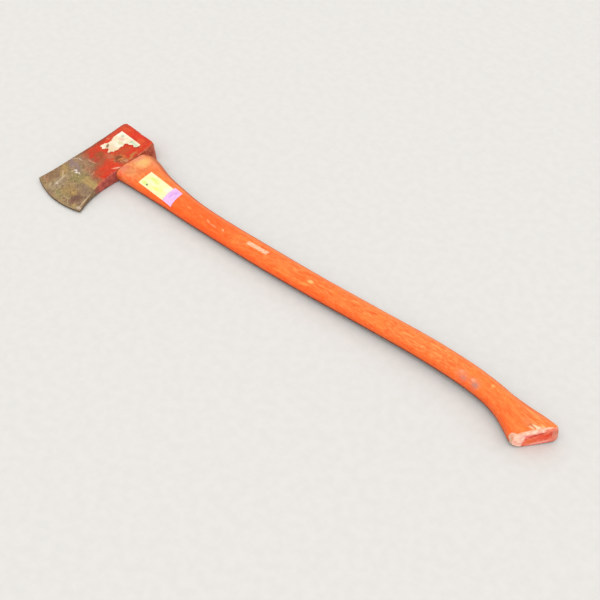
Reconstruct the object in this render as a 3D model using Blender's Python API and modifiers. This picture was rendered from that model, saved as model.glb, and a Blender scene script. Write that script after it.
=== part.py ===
"""Flat-head fire axe with a forged steel head, a curved hickory handle and its eye wedges.

Design frame, used for every piece before the axe is laid down:
  +X  along the eye of the head, from the crown towards the knob of the handle
  +Y  from the cutting edge towards the poll
  +Z  across the cheeks, with the middle plane of the head at z = 0
The finished axe lies on its side on z = 0: one cheek is down, and the knob touches.
"""

import math

import bmesh
import bpy
from mathutils import Matrix, Vector

MM = 0.001
GAP = 0.3 * MM                  # clearance between pieces that touch

# ---- head --------------------------------------------------------------------------------
POLL_Y = 50.0 * MM              # striking face
POLL_CHAMFER = 5.5 * MM         # round the striking face
CHEEK_BREAK_Y = -60.0 * MM      # where the flat cheeks end and the blade fans out
CORNER_Y = -124.5 * MM          # toe and heel, the two ends of the cutting edge
EDGE_BULGE = 11.5 * MM          # how far the middle of the cutting edge stands past its ends
CROWN_X = -91.5 * MM            # top of the head, where the handle comes through
UNDER_X = -11.0 * MM            # underside of the head, above the shoulder of the handle
TOE_FLARE = 13.0 * MM            # how far the toe reaches past the crown
TOE_FLARE_START_Y = 10.0 * MM
TOE_FLARE_POWER = 1.8
HEEL_FLARE = 24.5 * MM           # how far the heel sweeps down past the underside
HEEL_FLARE_START_Y = -35.0 * MM
HEEL_FLARE_POWER = 2.1
POLL_THICKNESS = 39.4 * MM
BREAK_THICKNESS = 19.5 * MM
GRIND_THICKNESS = 3.2 * MM      # where the cutting edge's own bevel starts
GRIND_LENGTH = 3.5 * MM
EDGE_THICKNESS = 0.9 * MM
HEAD_ROUND = 3.0 * MM           # round between the cheeks and the narrow sides

# ---- eye, a slot that widens from the underside to the crown ------------------------------
EYE_Y = -2.0 * MM
EYE_LENGTH_UNDER = 57.0 * MM
EYE_LENGTH_CROWN = 64.0 * MM
EYE_WIDTH_UNDER = 20.0 * MM
EYE_WIDTH_CROWN = 23.0 * MM
EYE_SQUARENESS = 2.4            # exponent of the superellipse: 2 is a plain ellipse

# ---- handle -------------------------------------------------------------------------------
TENON_PROUD = 3.0 * MM          # tenon standing past the crown
END_CUT_POINT = (815.5 * MM, 55.0 * MM)  # a point x, y on the flat end of the knob
END_SLANT = math.radians(33.0)  # how far the end cut leans from square
KNOB_ROUND = 3.0 * MM
# Sections along the handle: x, centre y, half width, half thickness, squareness.
HANDLE_SECTIONS = (
    (-10.7, -1.2, 30.4, 13.8, 3.4),
    (4.0, 0.6, 33.6, 14.1, 3.0),
    (20.0, 0.7, 32.0, 14.1, 2.8),
    (60.0, -1.6, 26.0, 13.8, 2.6),
    (100.0, -1.5, 22.7, 13.4, 2.4),
    (145.0, -1.0, 20.0, 13.0, 2.4),
    (200.0, 2.8, 19.1, 12.8, 2.3),
    (300.0, 12.6, 19.3, 12.6, 2.3),
    (400.0, 24.2, 18.6, 12.5, 2.3),
    (500.0, 37.9, 18.2, 12.5, 2.3),
    (600.0, 51.2, 18.3, 12.6, 2.3),
    (670.0, 56.5, 18.1, 12.8, 2.3),
    (715.0, 55.8, 17.9, 13.2, 2.4),
    (742.0, 51.8, 19.3, 13.9, 2.6),
    (765.0, 46.9, 23.6, 14.7, 3.0),
    (784.0, 43.0, 27.8, 15.2, 3.4),
    (795.0, 45.8, 25.2, 15.4, 3.6),
    (805.0, 51.0, 19.6, 15.4, 3.6),
    (815.0, 57.4, 12.2, 15.4, 3.6),
    (824.0, 62.0, 3.0, 15.4, 3.6),
)

# ---- wedges in the eye --------------------------------------------------------------------
KERF_DEPTH = 60.0 * MM
KERF_MOUTH = 4.4 * MM
KERF_FLOOR = 1.4 * MM
WEDGE_DEPTH = 57.0 * MM
CROSS_WEDGE_WIDTH = 27.0 * MM
CROSS_WEDGE_DEPTH = 26.0 * MM
CROSS_WEDGE_THICK = 4.2 * MM
CROSS_WEDGE_TIP = 1.0 * MM
CROSS_WEDGE_ANGLE = math.radians(38.0)

# ---- paper labels -------------------------------------------------------------------------
LABEL_THICKNESS = 0.3 * MM
TAG_LIFT = 1.2 * GAP            # the tags clear the bowed handle by a little more than the gap
# Outline of the torn label on the upper cheek, x and y in millimetres: two edges are still
# straight, the other two are ripped.
CHEEK_LABEL_OUTLINE = (
    (-76.4, 30.4), (-25.4, 30.4), (-25.2, 23.4), (-30.4, 19.0), (-36.5, 21.2),
    (-42.2, 20.2), (-47.0, 16.6), (-49.6, 11.0), (-47.0, 3.0), (-47.2, -4.2),
    (-51.8, -12.6), (-55.6, -16.2), (-60.2, -14.0), (-64.6, -14.6), (-70.4, -12.4),
    (-75.8, -14.4),
)
# Corners of the tags on the handle, x and y in millimetres, going round from the near side.
YELLOW_TAG_CORNERS = ((36.8, -21.0), (98.4, -19.6), (95.2, 4.0), (36.8, 4.0))
LILAC_TAG_CORNERS = ((98.8, -19.4), (115.6, -19.8), (112.6, 6.8), (95.1, 7.2))
TAG_CELLS_ALONG = 6
TAG_CELLS_ACROSS = 8

# ---- pose ---------------------------------------------------------------------------------
SETTLE_ROUNDS = 6               # rounds of turning until head and knob both touch

# ---- mesh resolution ----------------------------------------------------------------------
RING_POINTS = 36                # points round the handle and the eye
CHEEK_SEGMENTS = 10             # across the cheeks
CORNER_SEGMENTS = 3             # round each long edge of the head
HEAD_STATIONS_MM = (30.0, 10.0, -10.0, -30.0, -45.0, -60.0, -70.0, -80.0, -90.0, -100.0, -110.0)
KNOB_START_MM = 775.0
STEP_KNOB_MM = 5.0              # spacing of the handle's sections in the knob,
STEP_CURVED_MM = 12.0           # in the shoulder and the throat of the knob,
STEP_PLAIN_MM = 26.0            # and along the grip
PLAIN_RANGE_MM = (130.0, 700.0)


def clear_scene():
    for old in list(bpy.data.objects):
        bpy.data.objects.remove(old, do_unlink=True)


def new_collection(name):
    collection = bpy.data.collections.new(name)
    bpy.context.scene.collection.children.link(collection)
    return collection


def make_material(name, colour, roughness, metallic=0.0):
    material = bpy.data.materials.new(name)
    material.use_nodes = True
    shader = material.node_tree.nodes["Principled BSDF"]
    shader.inputs["Base Color"].default_value = (*colour, 1.0)
    shader.inputs["Roughness"].default_value = roughness
    shader.inputs["Metallic"].default_value = metallic
    return material


def blend(start, end, share):
    return start + (end - start) * share


def loft(name, rings, collection):
    """A closed mesh through rings that all have the same number of points."""
    mesh = bmesh.new()
    rows = [[mesh.verts.new(point) for point in ring] for ring in rings]
    count = len(rows[0])
    for lower, upper in zip(rows, rows[1:]):
        for i in range(count):
            j = (i + 1) % count
            mesh.faces.new((lower[i], lower[j], upper[j], upper[i]))
    mesh.faces.new(rows[0][::-1])
    mesh.faces.new(rows[-1])
    bmesh.ops.recalc_face_normals(mesh, faces=mesh.faces)
    return add_mesh(name, mesh, collection)


def add_mesh(name, mesh, collection):
    data = bpy.data.meshes.new(name)
    mesh.to_mesh(data)
    mesh.free()
    piece = bpy.data.objects.new(name, data)
    collection.objects.link(piece)
    return piece


def boolean(piece, cutter, operation):
    modifier = piece.modifiers.new(operation.lower(), "BOOLEAN")
    modifier.operation = operation
    modifier.object = cutter
    modifier.solver = "EXACT"


def hide_cutter(cutter):
    cutter.hide_render = True
    cutter.display_type = "WIRE"


def superellipse(half_length, half_width, squareness, count=RING_POINTS):
    """Points round an oval: (along the length, across the width)."""
    points = []
    for i in range(count):
        angle = 2.0 * math.pi * i / count
        c = math.cos(angle)
        s = math.sin(angle)
        power = 2.0 / squareness
        points.append((
            half_length * math.copysign(abs(c) ** power, c),
            half_width * math.copysign(abs(s) ** power, s),
        ))
    return points


# ---- head ---------------------------------------------------------------------------------

def cheek_half_thickness(y):
    """Half the thickness of the head at a section, from the poll to the cutting edge."""
    stations = (
        (CORNER_Y, EDGE_THICKNESS),
        (CORNER_Y + GRIND_LENGTH, GRIND_THICKNESS),
        (CHEEK_BREAK_Y, BREAK_THICKNESS),
        (POLL_Y, POLL_THICKNESS),
    )
    for (y0, t0), (y1, t1) in zip(stations, stations[1:]):
        if y <= y1:
            return 0.5 * blend(t0, t1, (y - y0) / (y1 - y0))
    return 0.5 * POLL_THICKNESS


def crown_edge_x(y):
    share = max(0.0, (TOE_FLARE_START_Y - y) / (TOE_FLARE_START_Y - CORNER_Y))
    return CROWN_X - TOE_FLARE * share ** TOE_FLARE_POWER


def underside_edge_x(y):
    share = max(0.0, (HEEL_FLARE_START_Y - y) / (HEEL_FLARE_START_Y - CORNER_Y))
    return UNDER_X + HEEL_FLARE * share ** HEEL_FLARE_POWER


def head_section(y, inset=0.0):
    """A rounded rectangle across the head, bowed towards the edge where the blade fans."""
    x0 = crown_edge_x(y) + inset
    x1 = underside_edge_x(y) - inset
    half = cheek_half_thickness(y) - inset
    middle = 0.5 * (x0 + x1)
    reach = 0.5 * (x1 - x0)
    round_off = min(HEAD_ROUND, 0.7 * half)
    fan = max(0.0, (CHEEK_BREAK_Y - y) / (CHEEK_BREAK_Y - CORNER_Y))
    bulge = EDGE_BULGE * fan ** 2.0
    flat = []
    corners = ((x1, half, 0.0), (x0, half, 90.0), (x0, -half, 180.0), (x1, -half, 270.0))
    for corner_x, corner_z, start in corners:
        centre_x = corner_x - math.copysign(round_off, corner_x - middle)
        centre_z = corner_z - math.copysign(round_off, corner_z)
        for step in range(CORNER_SEGMENTS + 1):
            angle = math.radians(start + 90.0 * step / CORNER_SEGMENTS)
            flat.append((centre_x + round_off * math.cos(angle),
                         centre_z + round_off * math.sin(angle)))
    points = []
    for i, (x, z) in enumerate(flat):
        points.append((x, z))
        crosses_cheek = i in (CORNER_SEGMENTS, 3 * CORNER_SEGMENTS + 2)
        if crosses_cheek:
            next_x, next_z = flat[i + 1]
            for step in range(1, CHEEK_SEGMENTS):
                share = step / CHEEK_SEGMENTS
                points.append((blend(x, next_x, share), blend(z, next_z, share)))
    return [(x, y - bulge * (1.0 - ((x - middle) / reach) ** 2), z) for x, z in points]


def build_head(parts, cutters, material):
    sections = []
    for step in range(3):
        angle = math.radians(45.0 * step)
        inset = POLL_CHAMFER * (1.0 - math.sin(angle))
        sections.append(head_section(POLL_Y - POLL_CHAMFER * (1.0 - math.cos(angle)), inset))
    sections.extend(head_section(y * MM) for y in HEAD_STATIONS_MM)
    sections.append(head_section(CORNER_Y + GRIND_LENGTH))
    sections.append(head_section(CORNER_Y))
    head = loft("head", sections, parts)
    eye = loft("eye_cutter", eye_rings(0.0), cutters)
    hide_cutter(eye)
    boolean(head, eye, "DIFFERENCE")
    head.data.materials.append(material)
    return head


def eye_size(x):
    share = (UNDER_X - x) / (UNDER_X - CROWN_X)
    length = blend(EYE_LENGTH_UNDER, EYE_LENGTH_CROWN, share)
    width = blend(EYE_WIDTH_UNDER, EYE_WIDTH_CROWN, share)
    return 0.5 * length, 0.5 * width


def eye_ring(x, clearance):
    half_length, half_width = eye_size(x)
    oval = superellipse(half_length - clearance, half_width - clearance, EYE_SQUARENESS)
    return [(x, EYE_Y + y, z) for y, z in oval]


def eye_rings(clearance):
    margin = 8.0 * MM
    return [eye_ring(UNDER_X + margin, clearance), eye_ring(CROWN_X - margin, clearance)]


# ---- handle -------------------------------------------------------------------------------

def smooth_through(stations, x):
    """Cubic through the stations with slopes from their neighbours, one value per column."""
    last = len(stations) - 1
    k = 0
    while k < last - 1 and x > stations[k + 1][0]:
        k += 1

    def slope(index, column):
        before = stations[max(0, index - 1)]
        after = stations[min(last, index + 1)]
        return (after[column] - before[column]) / (after[0] - before[0])

    start = stations[k]
    end = stations[k + 1]
    span = end[0] - start[0]
    t = (x - start[0]) / span
    values = []
    for column in range(1, len(start)):
        values.append(
            (2.0 * t ** 3 - 3.0 * t ** 2 + 1.0) * start[column]
            + (t ** 3 - 2.0 * t ** 2 + t) * span * slope(k, column)
            + (3.0 * t ** 2 - 2.0 * t ** 3) * end[column]
            + (t ** 3 - t ** 2) * span * slope(k + 1, column)
        )
    return values


def handle_ring(x_mm):
    centre, half_width, half_thick, squareness = smooth_through(HANDLE_SECTIONS, x_mm)
    oval = superellipse(half_width * MM, half_thick * MM, squareness)
    return [(x_mm * MM, centre * MM + y, z) for y, z in oval]


def handle_top(x, y, lift):
    """A point on the upper side of the handle, raised by lift along the surface normal."""
    centre, half_width, half_thick, squareness = smooth_through(HANDLE_SECTIONS, x / MM)
    across = (y / MM - centre) / half_width
    height = half_thick * (1.0 - abs(across) ** squareness) ** (1.0 / squareness)
    fall = -(height / half_width) * abs(across) ** (squareness - 1.0)
    fall *= math.copysign(1.0, across) / (1.0 - abs(across) ** squareness)
    normal = Vector((0.0, -fall, 1.0)).normalized()
    return Vector((x, y, height * MM)) + normal * lift


def section_step(x_mm):
    """Sections stand closer together where the handle changes shape faster."""
    if x_mm > KNOB_START_MM:
        return STEP_KNOB_MM
    if x_mm < PLAIN_RANGE_MM[0] or x_mm > PLAIN_RANGE_MM[1]:
        return STEP_CURVED_MM
    return STEP_PLAIN_MM


def build_handle(parts, cutters, material):
    tenon_end = CROWN_X - TENON_PROUD
    rings = [eye_ring(tenon_end, GAP), eye_ring(UNDER_X + GAP, GAP)]
    first = HANDLE_SECTIONS[0][0]
    last = HANDLE_SECTIONS[-1][0]
    x = first
    while x < last:
        rings.append(handle_ring(x))
        x += section_step(x)
    handle = loft("handle", rings, parts)
    cut_knob(handle)
    kerf = kerf_prism("kerf_cutter", KERF_DEPTH, KERF_MOUTH, KERF_FLOOR, cutters)
    hide_cutter(kerf)
    boolean(handle, kerf, "DIFFERENCE")
    handle.data.materials.append(material)
    return handle


def cut_knob(handle):
    """The slanted flat end of the knob, with its rim rounded over."""
    mesh = bmesh.new()
    mesh.from_mesh(handle.data)
    normal = Vector((math.cos(END_SLANT), -math.sin(END_SLANT), 0.0))
    everything = mesh.verts[:] + mesh.edges[:] + mesh.faces[:]
    cut = bmesh.ops.bisect_plane(
        mesh, geom=everything, plane_co=Vector((*END_CUT_POINT, 0.0)), plane_no=normal,
        clear_outer=True,
    )
    rim = [item for item in cut["geom_cut"] if isinstance(item, bmesh.types.BMEdge)]
    bmesh.ops.edgeloop_fill(mesh, edges=rim)
    bmesh.ops.bevel(
        mesh, geom=rim, offset=KNOB_ROUND, segments=3, profile=0.5, affect="EDGES",
        clamp_overlap=True,
    )
    bmesh.ops.recalc_face_normals(mesh, faces=mesh.faces)
    mesh.to_mesh(handle.data)
    mesh.free()


# ---- wedges -------------------------------------------------------------------------------

def kerf_prism(name, depth, mouth, floor, collection):
    """A tapered slab along the eye's length, open at the crown."""
    outer = CROWN_X - TENON_PROUD - 2.0 * MM
    inner = CROWN_X - TENON_PROUD + depth
    half_y = 0.5 * EYE_LENGTH_CROWN + 4.0 * MM
    rings = []
    for x, thickness in ((outer, mouth), (inner, floor)):
        half_z = 0.5 * thickness
        rings.append([
            (x, EYE_Y - half_y, -half_z), (x, EYE_Y + half_y, -half_z),
            (x, EYE_Y + half_y, half_z), (x, EYE_Y - half_y, half_z),
        ])
    return loft(name, rings, collection)


def build_kerf_wedge(parts, cutters, material):
    wedge = kerf_prism(
        "kerf_wedge", WEDGE_DEPTH, KERF_MOUTH - 2.0 * GAP, KERF_FLOOR - 2.0 * GAP, parts
    )
    end = CROWN_X - TENON_PROUD
    core = loft("wedge_core", [eye_ring(end, GAP), eye_ring(UNDER_X, GAP)], cutters)
    hide_cutter(core)
    boolean(wedge, core, "INTERSECT")
    wedge.data.materials.append(material)
    return wedge


def cross_wedge_body(name, clearance, collection, sunk):
    """A steel wedge that stands across the kerf at an angle, thick end at the crown."""
    outer = CROWN_X - TENON_PROUD + sunk
    inner = CROWN_X - TENON_PROUD + CROSS_WEDGE_DEPTH + clearance
    rings = []
    half_width = 0.5 * CROSS_WEDGE_WIDTH + clearance
    for x, thickness in ((outer, CROSS_WEDGE_THICK), (inner, CROSS_WEDGE_TIP)):
        half = 0.5 * thickness + clearance
        rings.append([
            (x, -half_width, -half), (x, half_width, -half),
            (x, half_width, half), (x, -half_width, half),
        ])
    body = loft(name, rings, collection)
    turn = Matrix.Rotation(CROSS_WEDGE_ANGLE, 4, "X")
    body.data.transform(Matrix.Translation((0.0, EYE_Y, 0.0)) @ turn)
    return body


def build_cross_wedge(parts, cutters, cut_pieces, material):
    wedge = cross_wedge_body("cross_wedge", 0.0, parts, 0.4 * MM)
    slot = cross_wedge_body("cross_wedge_slot", GAP, cutters, -2.0 * MM)
    hide_cutter(slot)
    for piece in cut_pieces:
        boolean(piece, slot, "DIFFERENCE")
    wedge.data.materials.append(material)
    return wedge


# ---- labels -------------------------------------------------------------------------------

def cheek_tilt():
    """Angle between a cheek and the middle plane of the head."""
    return math.atan((POLL_THICKNESS - BREAK_THICKNESS) / (2.0 * (POLL_Y - CHEEK_BREAK_Y)))


def build_cheek_label(parts, material):
    """The torn label lies flat on the upper cheek, between the crown and the poll."""
    curve = bpy.data.curves.new("cheek_label", "CURVE")
    curve.dimensions = "2D"
    curve.fill_mode = "BOTH"
    curve.extrude = 0.5 * LABEL_THICKNESS
    spline = curve.splines.new("POLY")
    spline.points.add(len(CHEEK_LABEL_OUTLINE) - 1)
    for point, (x, y) in zip(spline.points, CHEEK_LABEL_OUTLINE):
        point.co = (x * MM, y * MM, 0.0, 1.0)
    spline.use_cyclic_u = True
    label = bpy.data.objects.new("cheek_label", curve)
    parts.objects.link(label)
    label.rotation_euler.x = cheek_tilt()
    lift = GAP + 0.5 * LABEL_THICKNESS
    label.location.z = cheek_half_thickness(0.0) + lift / math.cos(cheek_tilt())
    curve.materials.append(material)
    return label


def build_tag(name, corners, parts, material):
    """A paper tag pressed onto the upper side of the handle, following its curve."""
    near_start, near_end, far_end, far_start = (Vector(corner) * MM for corner in corners)
    mesh = bmesh.new()
    rows = []
    for i in range(TAG_CELLS_ALONG + 1):
        along = i / TAG_CELLS_ALONG
        near = near_start.lerp(near_end, along)
        far = far_start.lerp(far_end, along)
        row = []
        for j in range(TAG_CELLS_ACROSS + 1):
            x, y = near.lerp(far, j / TAG_CELLS_ACROSS)
            row.append(mesh.verts.new(handle_top(x, y, TAG_LIFT)))
        rows.append(row)
    for here, following in zip(rows, rows[1:]):
        for j in range(TAG_CELLS_ACROSS):
            mesh.faces.new((here[j], following[j], following[j + 1], here[j + 1]))
    tag = add_mesh(name, mesh, parts)
    shell = tag.modifiers.new("paper", "SOLIDIFY")
    shell.thickness = LABEL_THICKNESS
    shell.offset = 1.0
    tag.data.materials.append(material)
    return tag


# ---- laying the axe down ------------------------------------------------------------------

def world_points(pieces):
    bpy.context.view_layer.update()
    graph = bpy.context.evaluated_depsgraph_get()
    clouds = []
    for piece in pieces:
        seen = piece.evaluated_get(graph)
        mesh = seen.to_mesh()
        clouds.append([seen.matrix_world @ vertex.co for vertex in mesh.vertices])
        seen.to_mesh_clear()
    return clouds


def lay_down(pieces, head, handle, carrier):
    """Rests the axe on a cheek and its knob, centred over the origin."""
    carrier.rotation_euler.x = cheek_tilt()
    for _ in range(SETTLE_ROUNDS):
        head_cloud, handle_cloud = world_points((head, handle))
        lowest_head = min(head_cloud, key=lambda point: point.z)
        lowest_knob = min(handle_cloud, key=lambda point: point.z)
        rise = lowest_knob.z - lowest_head.z
        carrier.rotation_euler.y += math.atan2(rise, lowest_knob.x - lowest_head.x)
    cloud = [point for points in world_points(pieces) for point in points]
    low = Vector([min(point[axis] for point in cloud) for axis in range(3)])
    high = Vector([max(point[axis] for point in cloud) for axis in range(3)])
    carrier.location = (-0.5 * (low.x + high.x), -0.5 * (low.y + high.y), -low.z)


def main():
    clear_scene()
    parts = new_collection("fire_axe")
    cutters = new_collection("cutters")

    red_paint = make_material("worn_red_paint_on_steel", (0.55, 0.05, 0.02), 0.45)
    painted_wood = make_material("orange_red_painted_hickory", (0.85, 0.14, 0.03), 0.5)
    bare_wood = make_material("bare_wedge_wood", (0.62, 0.42, 0.24), 0.7)
    wedge_steel = make_material("wedge_steel", (0.35, 0.33, 0.31), 0.45, 1.0)
    white_paper = make_material("torn_white_paper", (0.85, 0.82, 0.70), 0.7)
    yellow_paper = make_material("yellow_paper", (0.90, 0.88, 0.40), 0.65)
    lilac_paper = make_material("lilac_paper", (0.80, 0.55, 0.85), 0.65)

    head = build_head(parts, cutters, red_paint)
    handle = build_handle(parts, cutters, painted_wood)
    kerf_wedge = build_kerf_wedge(parts, cutters, bare_wood)
    cross_wedge = build_cross_wedge(parts, cutters, (handle, kerf_wedge), wedge_steel)
    cheek_label = build_cheek_label(parts, white_paper)
    yellow_tag = build_tag("yellow_tag", YELLOW_TAG_CORNERS, parts, yellow_paper)
    lilac_tag = build_tag("lilac_tag", LILAC_TAG_CORNERS, parts, lilac_paper)

    pieces = (head, handle, kerf_wedge, cross_wedge, cheek_label, yellow_tag, lilac_tag)
    carrier = bpy.data.objects.new("axe_rest_pose", None)
    parts.objects.link(carrier)
    for piece in pieces:
        piece.parent = carrier
    for cutter in cutters.objects:
        cutter.parent = carrier
    lay_down(pieces, head, handle, carrier)
    for piece in (head, handle):
        piece.data.shade_smooth()
        piece.data.set_sharp_from_angle(angle=math.radians(35.0))
    bpy.context.view_layer.update()


main()
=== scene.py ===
from functools import reduce
import math

import bmesh
import bpy
import numpy as np
from mathutils import Matrix, Vector
from mathutils.geometry import delaunay_2d_cdt


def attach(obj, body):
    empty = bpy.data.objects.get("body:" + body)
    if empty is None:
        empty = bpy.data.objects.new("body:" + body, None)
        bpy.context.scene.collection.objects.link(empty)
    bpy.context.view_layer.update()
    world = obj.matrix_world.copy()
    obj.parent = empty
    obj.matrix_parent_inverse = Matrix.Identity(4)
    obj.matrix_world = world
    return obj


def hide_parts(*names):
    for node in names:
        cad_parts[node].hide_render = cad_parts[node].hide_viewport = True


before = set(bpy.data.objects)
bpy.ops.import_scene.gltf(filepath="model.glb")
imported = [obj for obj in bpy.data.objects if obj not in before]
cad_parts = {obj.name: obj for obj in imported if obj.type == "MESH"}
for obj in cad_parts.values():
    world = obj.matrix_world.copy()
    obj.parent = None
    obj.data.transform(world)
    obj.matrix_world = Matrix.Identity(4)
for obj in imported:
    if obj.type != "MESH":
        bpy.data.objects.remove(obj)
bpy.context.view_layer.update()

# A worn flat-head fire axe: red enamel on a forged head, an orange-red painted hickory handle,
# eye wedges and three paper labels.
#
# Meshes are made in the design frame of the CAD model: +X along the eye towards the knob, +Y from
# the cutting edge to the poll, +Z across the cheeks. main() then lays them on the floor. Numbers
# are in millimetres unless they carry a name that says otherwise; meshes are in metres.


def table(text, width):
    """Rows of this many numbers."""
    return np.array(text.split(), float).reshape(-1, width)


MM = 0.001
REST_ROLL = math.radians(5.16866)
REST_PITCH = math.radians(0.21490)
REST_AT_METRES = Vector((-0.3589077, 0.0304927, 0.0150693))

# ---- the shape that the CAD model has -----------------------------------------------------
POLL_Y = 50.0
POLL_CHAMFER = 5.5
CHEEK_BREAK_Y = -60.0
CORNER_Y = -124.5
EDGE_BULGE = 11.5
CROWN_X = -91.5
UNDER_X = -11.0
TOE_FLARE = (13.0, 10.0, 1.8)       # reach, where it starts, power
HEEL_FLARE = (24.5, -35.0, 2.1)
POLL_THICKNESS = 39.4
BREAK_THICKNESS = 19.5
GRIND_THICKNESS = 3.2
GRIND_LENGTH = 3.5
EDGE_THICKNESS = 0.9
HEAD_ROUND = 3.0
POLL_CORNER_ROUND = 8.5
TOE_ROUND = 1.8
EYE_Y = -2.0
EYE_UNDER = (57.0, 20.0)
EYE_CROWN = (64.0, 23.0)
EYE_SQUARENESS = 2.4
TENON_END_X = CROWN_X - 3.0
END_CUT = (814.9, 55.0)             # a point on the knob's flat end
END_SLANT = math.radians(33.0)
KNOB_ROUND = 3.0
KNOB_START_X = 700.0
# x, centre y, half width, half thickness, squareness
HANDLE_SECTIONS = table("""
    -10.7 -2.2 31.8 13.8 3.6   4 0.6 33.6 14.1 3          20 0.7 32 14.1 2.8
    60 -1.6 26 13.8 2.6        100 -1.5 22.7 13.4 2.4     145 -1 20 13 2.4
    200 2.8 19.1 12.8 2.3      300 12.6 19.3 12.6 2.3     400 24.2 18.6 12.5 2.3
    500 37.9 18.2 12.5 2.3     600 51.2 18.3 12.6 2.3     670 56.5 18.1 12.8 2.3
    715 55.8 17.9 13.2 2.4     742 51.8 19.3 13.9 2.6     765 46.9 23.6 14.7 3
    784 43 27.8 15.2 3.4       795 45.8 25.2 15.4 3.6     805 51 19.6 15.4 3.6
    815 57.4 12.2 15.4 3.6     824 62 3 15.4 3.6
""", 5)
KERF_DEPTH = 60.0
KERF_MOUTH = 4.4
KERF_FLOOR = 1.4
CROSS_WEDGE_ANGLE = math.radians(38.0)
CHEEK_LABEL_OUTLINE = table("""
    -77 30.4      -25.6 30.4    -25.2 24      -30.2 19.4    -35.4 21.4    -40.4 18.8
    -45.6 17.8    -48 15.4      -47.6 2       -48.6 -8.6    -51.6 -11     -53.8 -16.8
    -57.4 -12.6   -61.8 -10.4   -66 -12.2     -69.4 -16.6   -74.6 -15.2   -78 -16.4
    -77 -7.6      -74.4 -2.4    -73.2 4.4     -75.4 9.6     -77.6 13.6
""", 2)
PAPER_THICKNESS = 0.14
PORES_PER_METRE = (1.0 / (0.55 * MM),) * 3
YELLOW_TAG_CORNERS = ((38.8, -23.0), (97.4, -21.2), (95.2, 4.2), (37.6, 4.4))
LILAC_TAG_CORNERS = ((97.6, -21.0), (118.6, -20.8), (114.0, 7.6), (94.6, 7.8))

CHEEK_TILT = math.atan((POLL_THICKNESS - BREAK_THICKNESS) / (2.0 * (POLL_Y - CHEEK_BREAK_Y)))


# ---- smooth random fields ------------------------------------------------------------------

def lattice(cells, seed):
    """A repeatable random number from 0 to 1 for each whole-number cell."""
    h = (cells[:, 0] * 374761393 + cells[:, 1] * 668265263 + cells[:, 2] * 2147483647
         + seed * 974634777) & 0xFFFFFFFF
    h = ((h ^ (h >> 13)) * 1274126177) & 0xFFFFFFFF
    h = ((h ^ (h >> 16)) * 2246822519) & 0xFFFFFFFF
    return ((h ^ (h >> 15)) & 0xFFFFFF) / float(0xFFFFFF)


def smooth_noise(points, seed):
    base = np.floor(points).astype(np.int64)
    t = points - base
    t = t * t * (3.0 - 2.0 * t)
    total = np.zeros(len(points))
    for corner in np.ndindex(2, 2, 2):
        weight = np.where(corner, t, 1 - t)
        total += weight[:, 0] * weight[:, 1] * weight[:, 2] * lattice(base + corner, seed)
    return total


def fractal(points, cell, seed, octaves=3):
    """Fractal noise about zero, from -1 to 1, with features about a cell across."""
    total = np.zeros(len(points))
    size = 1.0
    for octave in range(octaves):
        total += size * (smooth_noise(points / cell * 2.0 ** octave, seed + octave) - 0.5)
        size *= 0.5
    return total * 1.1


def swell(points, cell, seed, octaves=3):
    return 0.5 + 0.5 * fractal(points, cell, seed, octaves)


# ---- mesh tools ----------------------------------------------------------------------------

def piece_from(name, points, faces):
    """A mesh object from points in millimetres in the design frame."""
    mesh = bpy.data.meshes.new(name)
    mesh.from_pydata((np.asarray(points) * MM).tolist(), [], faces)
    mesh.validate()
    piece = bpy.data.objects.new(name, mesh)
    bpy.context.scene.collection.objects.link(piece)
    return piece


def ring_faces(rings, count):
    return [(a + i, a + (i + 1) % count, a + count + (i + 1) % count, a + count + i)
            for a in range(0, (rings - 1) * count, count) for i in range(count)]


def clean(piece, merge=0.0):
    mesh = bmesh.new()
    mesh.from_mesh(piece.data)
    if merge:
        bmesh.ops.remove_doubles(mesh, verts=mesh.verts, dist=merge)
    bmesh.ops.recalc_face_normals(mesh, faces=mesh.faces)
    mesh.to_mesh(piece.data)
    mesh.free()


def capped_tube(name, rings):
    count = len(rings[0])
    last = (len(rings) - 1) * count
    faces = ring_faces(len(rings), count)
    faces += [tuple(range(count))[::-1], tuple(range(last, last + count))]
    piece = piece_from(name, np.concatenate(rings), faces)
    clean(piece)
    return piece


def modify(piece, kind, **settings):
    """Puts a modifier on a piece and bakes it in."""
    modifier = piece.modifiers.new(kind, kind)
    for name, value in settings.items():
        setattr(modifier, name, value)
    graph = bpy.context.evaluated_depsgraph_get()
    made = bpy.data.meshes.new_from_object(piece.evaluated_get(graph))
    piece.modifiers.clear()
    old = piece.data
    piece.data = made
    bpy.data.meshes.remove(old)


def cut(piece, cutter, operation="DIFFERENCE"):
    modify(piece, "BOOLEAN", operation=operation, object=cutter, solver="EXACT")
    bpy.data.objects.remove(cutter, do_unlink=True)


def read(collection, name, width=3, kind=float):
    values = np.zeros(len(collection) * width, kind)
    collection.foreach_get(name, values)
    return values.reshape(-1, width)


def get_points(piece):
    return read(piece.data.vertices, "co") / MM


def get_normals(piece):
    return read(piece.data.vertices, "normal")


def set_points(piece, points):
    piece.data.vertices.foreach_set("co", (points * MM).ravel())
    piece.data.update()


def convexity(piece, rounds):
    """Up to about 1 on outward edges, 0 on flats, below 0 in hollows, for each vertex."""
    points, normals = get_points(piece), get_normals(piece)
    start, end = read(piece.data.edges, "vertices", 2, np.int64).T
    count = np.bincount(np.concatenate((start, end)), minlength=len(points))
    along = points[end] - points[start]
    length = np.linalg.norm(along, axis=1) + 1e-9
    bend = np.zeros(len(points))
    np.add.at(bend, start, -(along * normals[start]).sum(1) / length)
    np.add.at(bend, end, (along * normals[end]).sum(1) / length)
    bend /= np.maximum(count, 1)
    for _ in range(rounds):
        total = bend.copy()
        np.add.at(total, start, bend[end])
        np.add.at(total, end, bend[start])
        bend = total / (count + 1.0)
    return np.clip(bend * 6.0, -1.0, 1.0)


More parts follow.
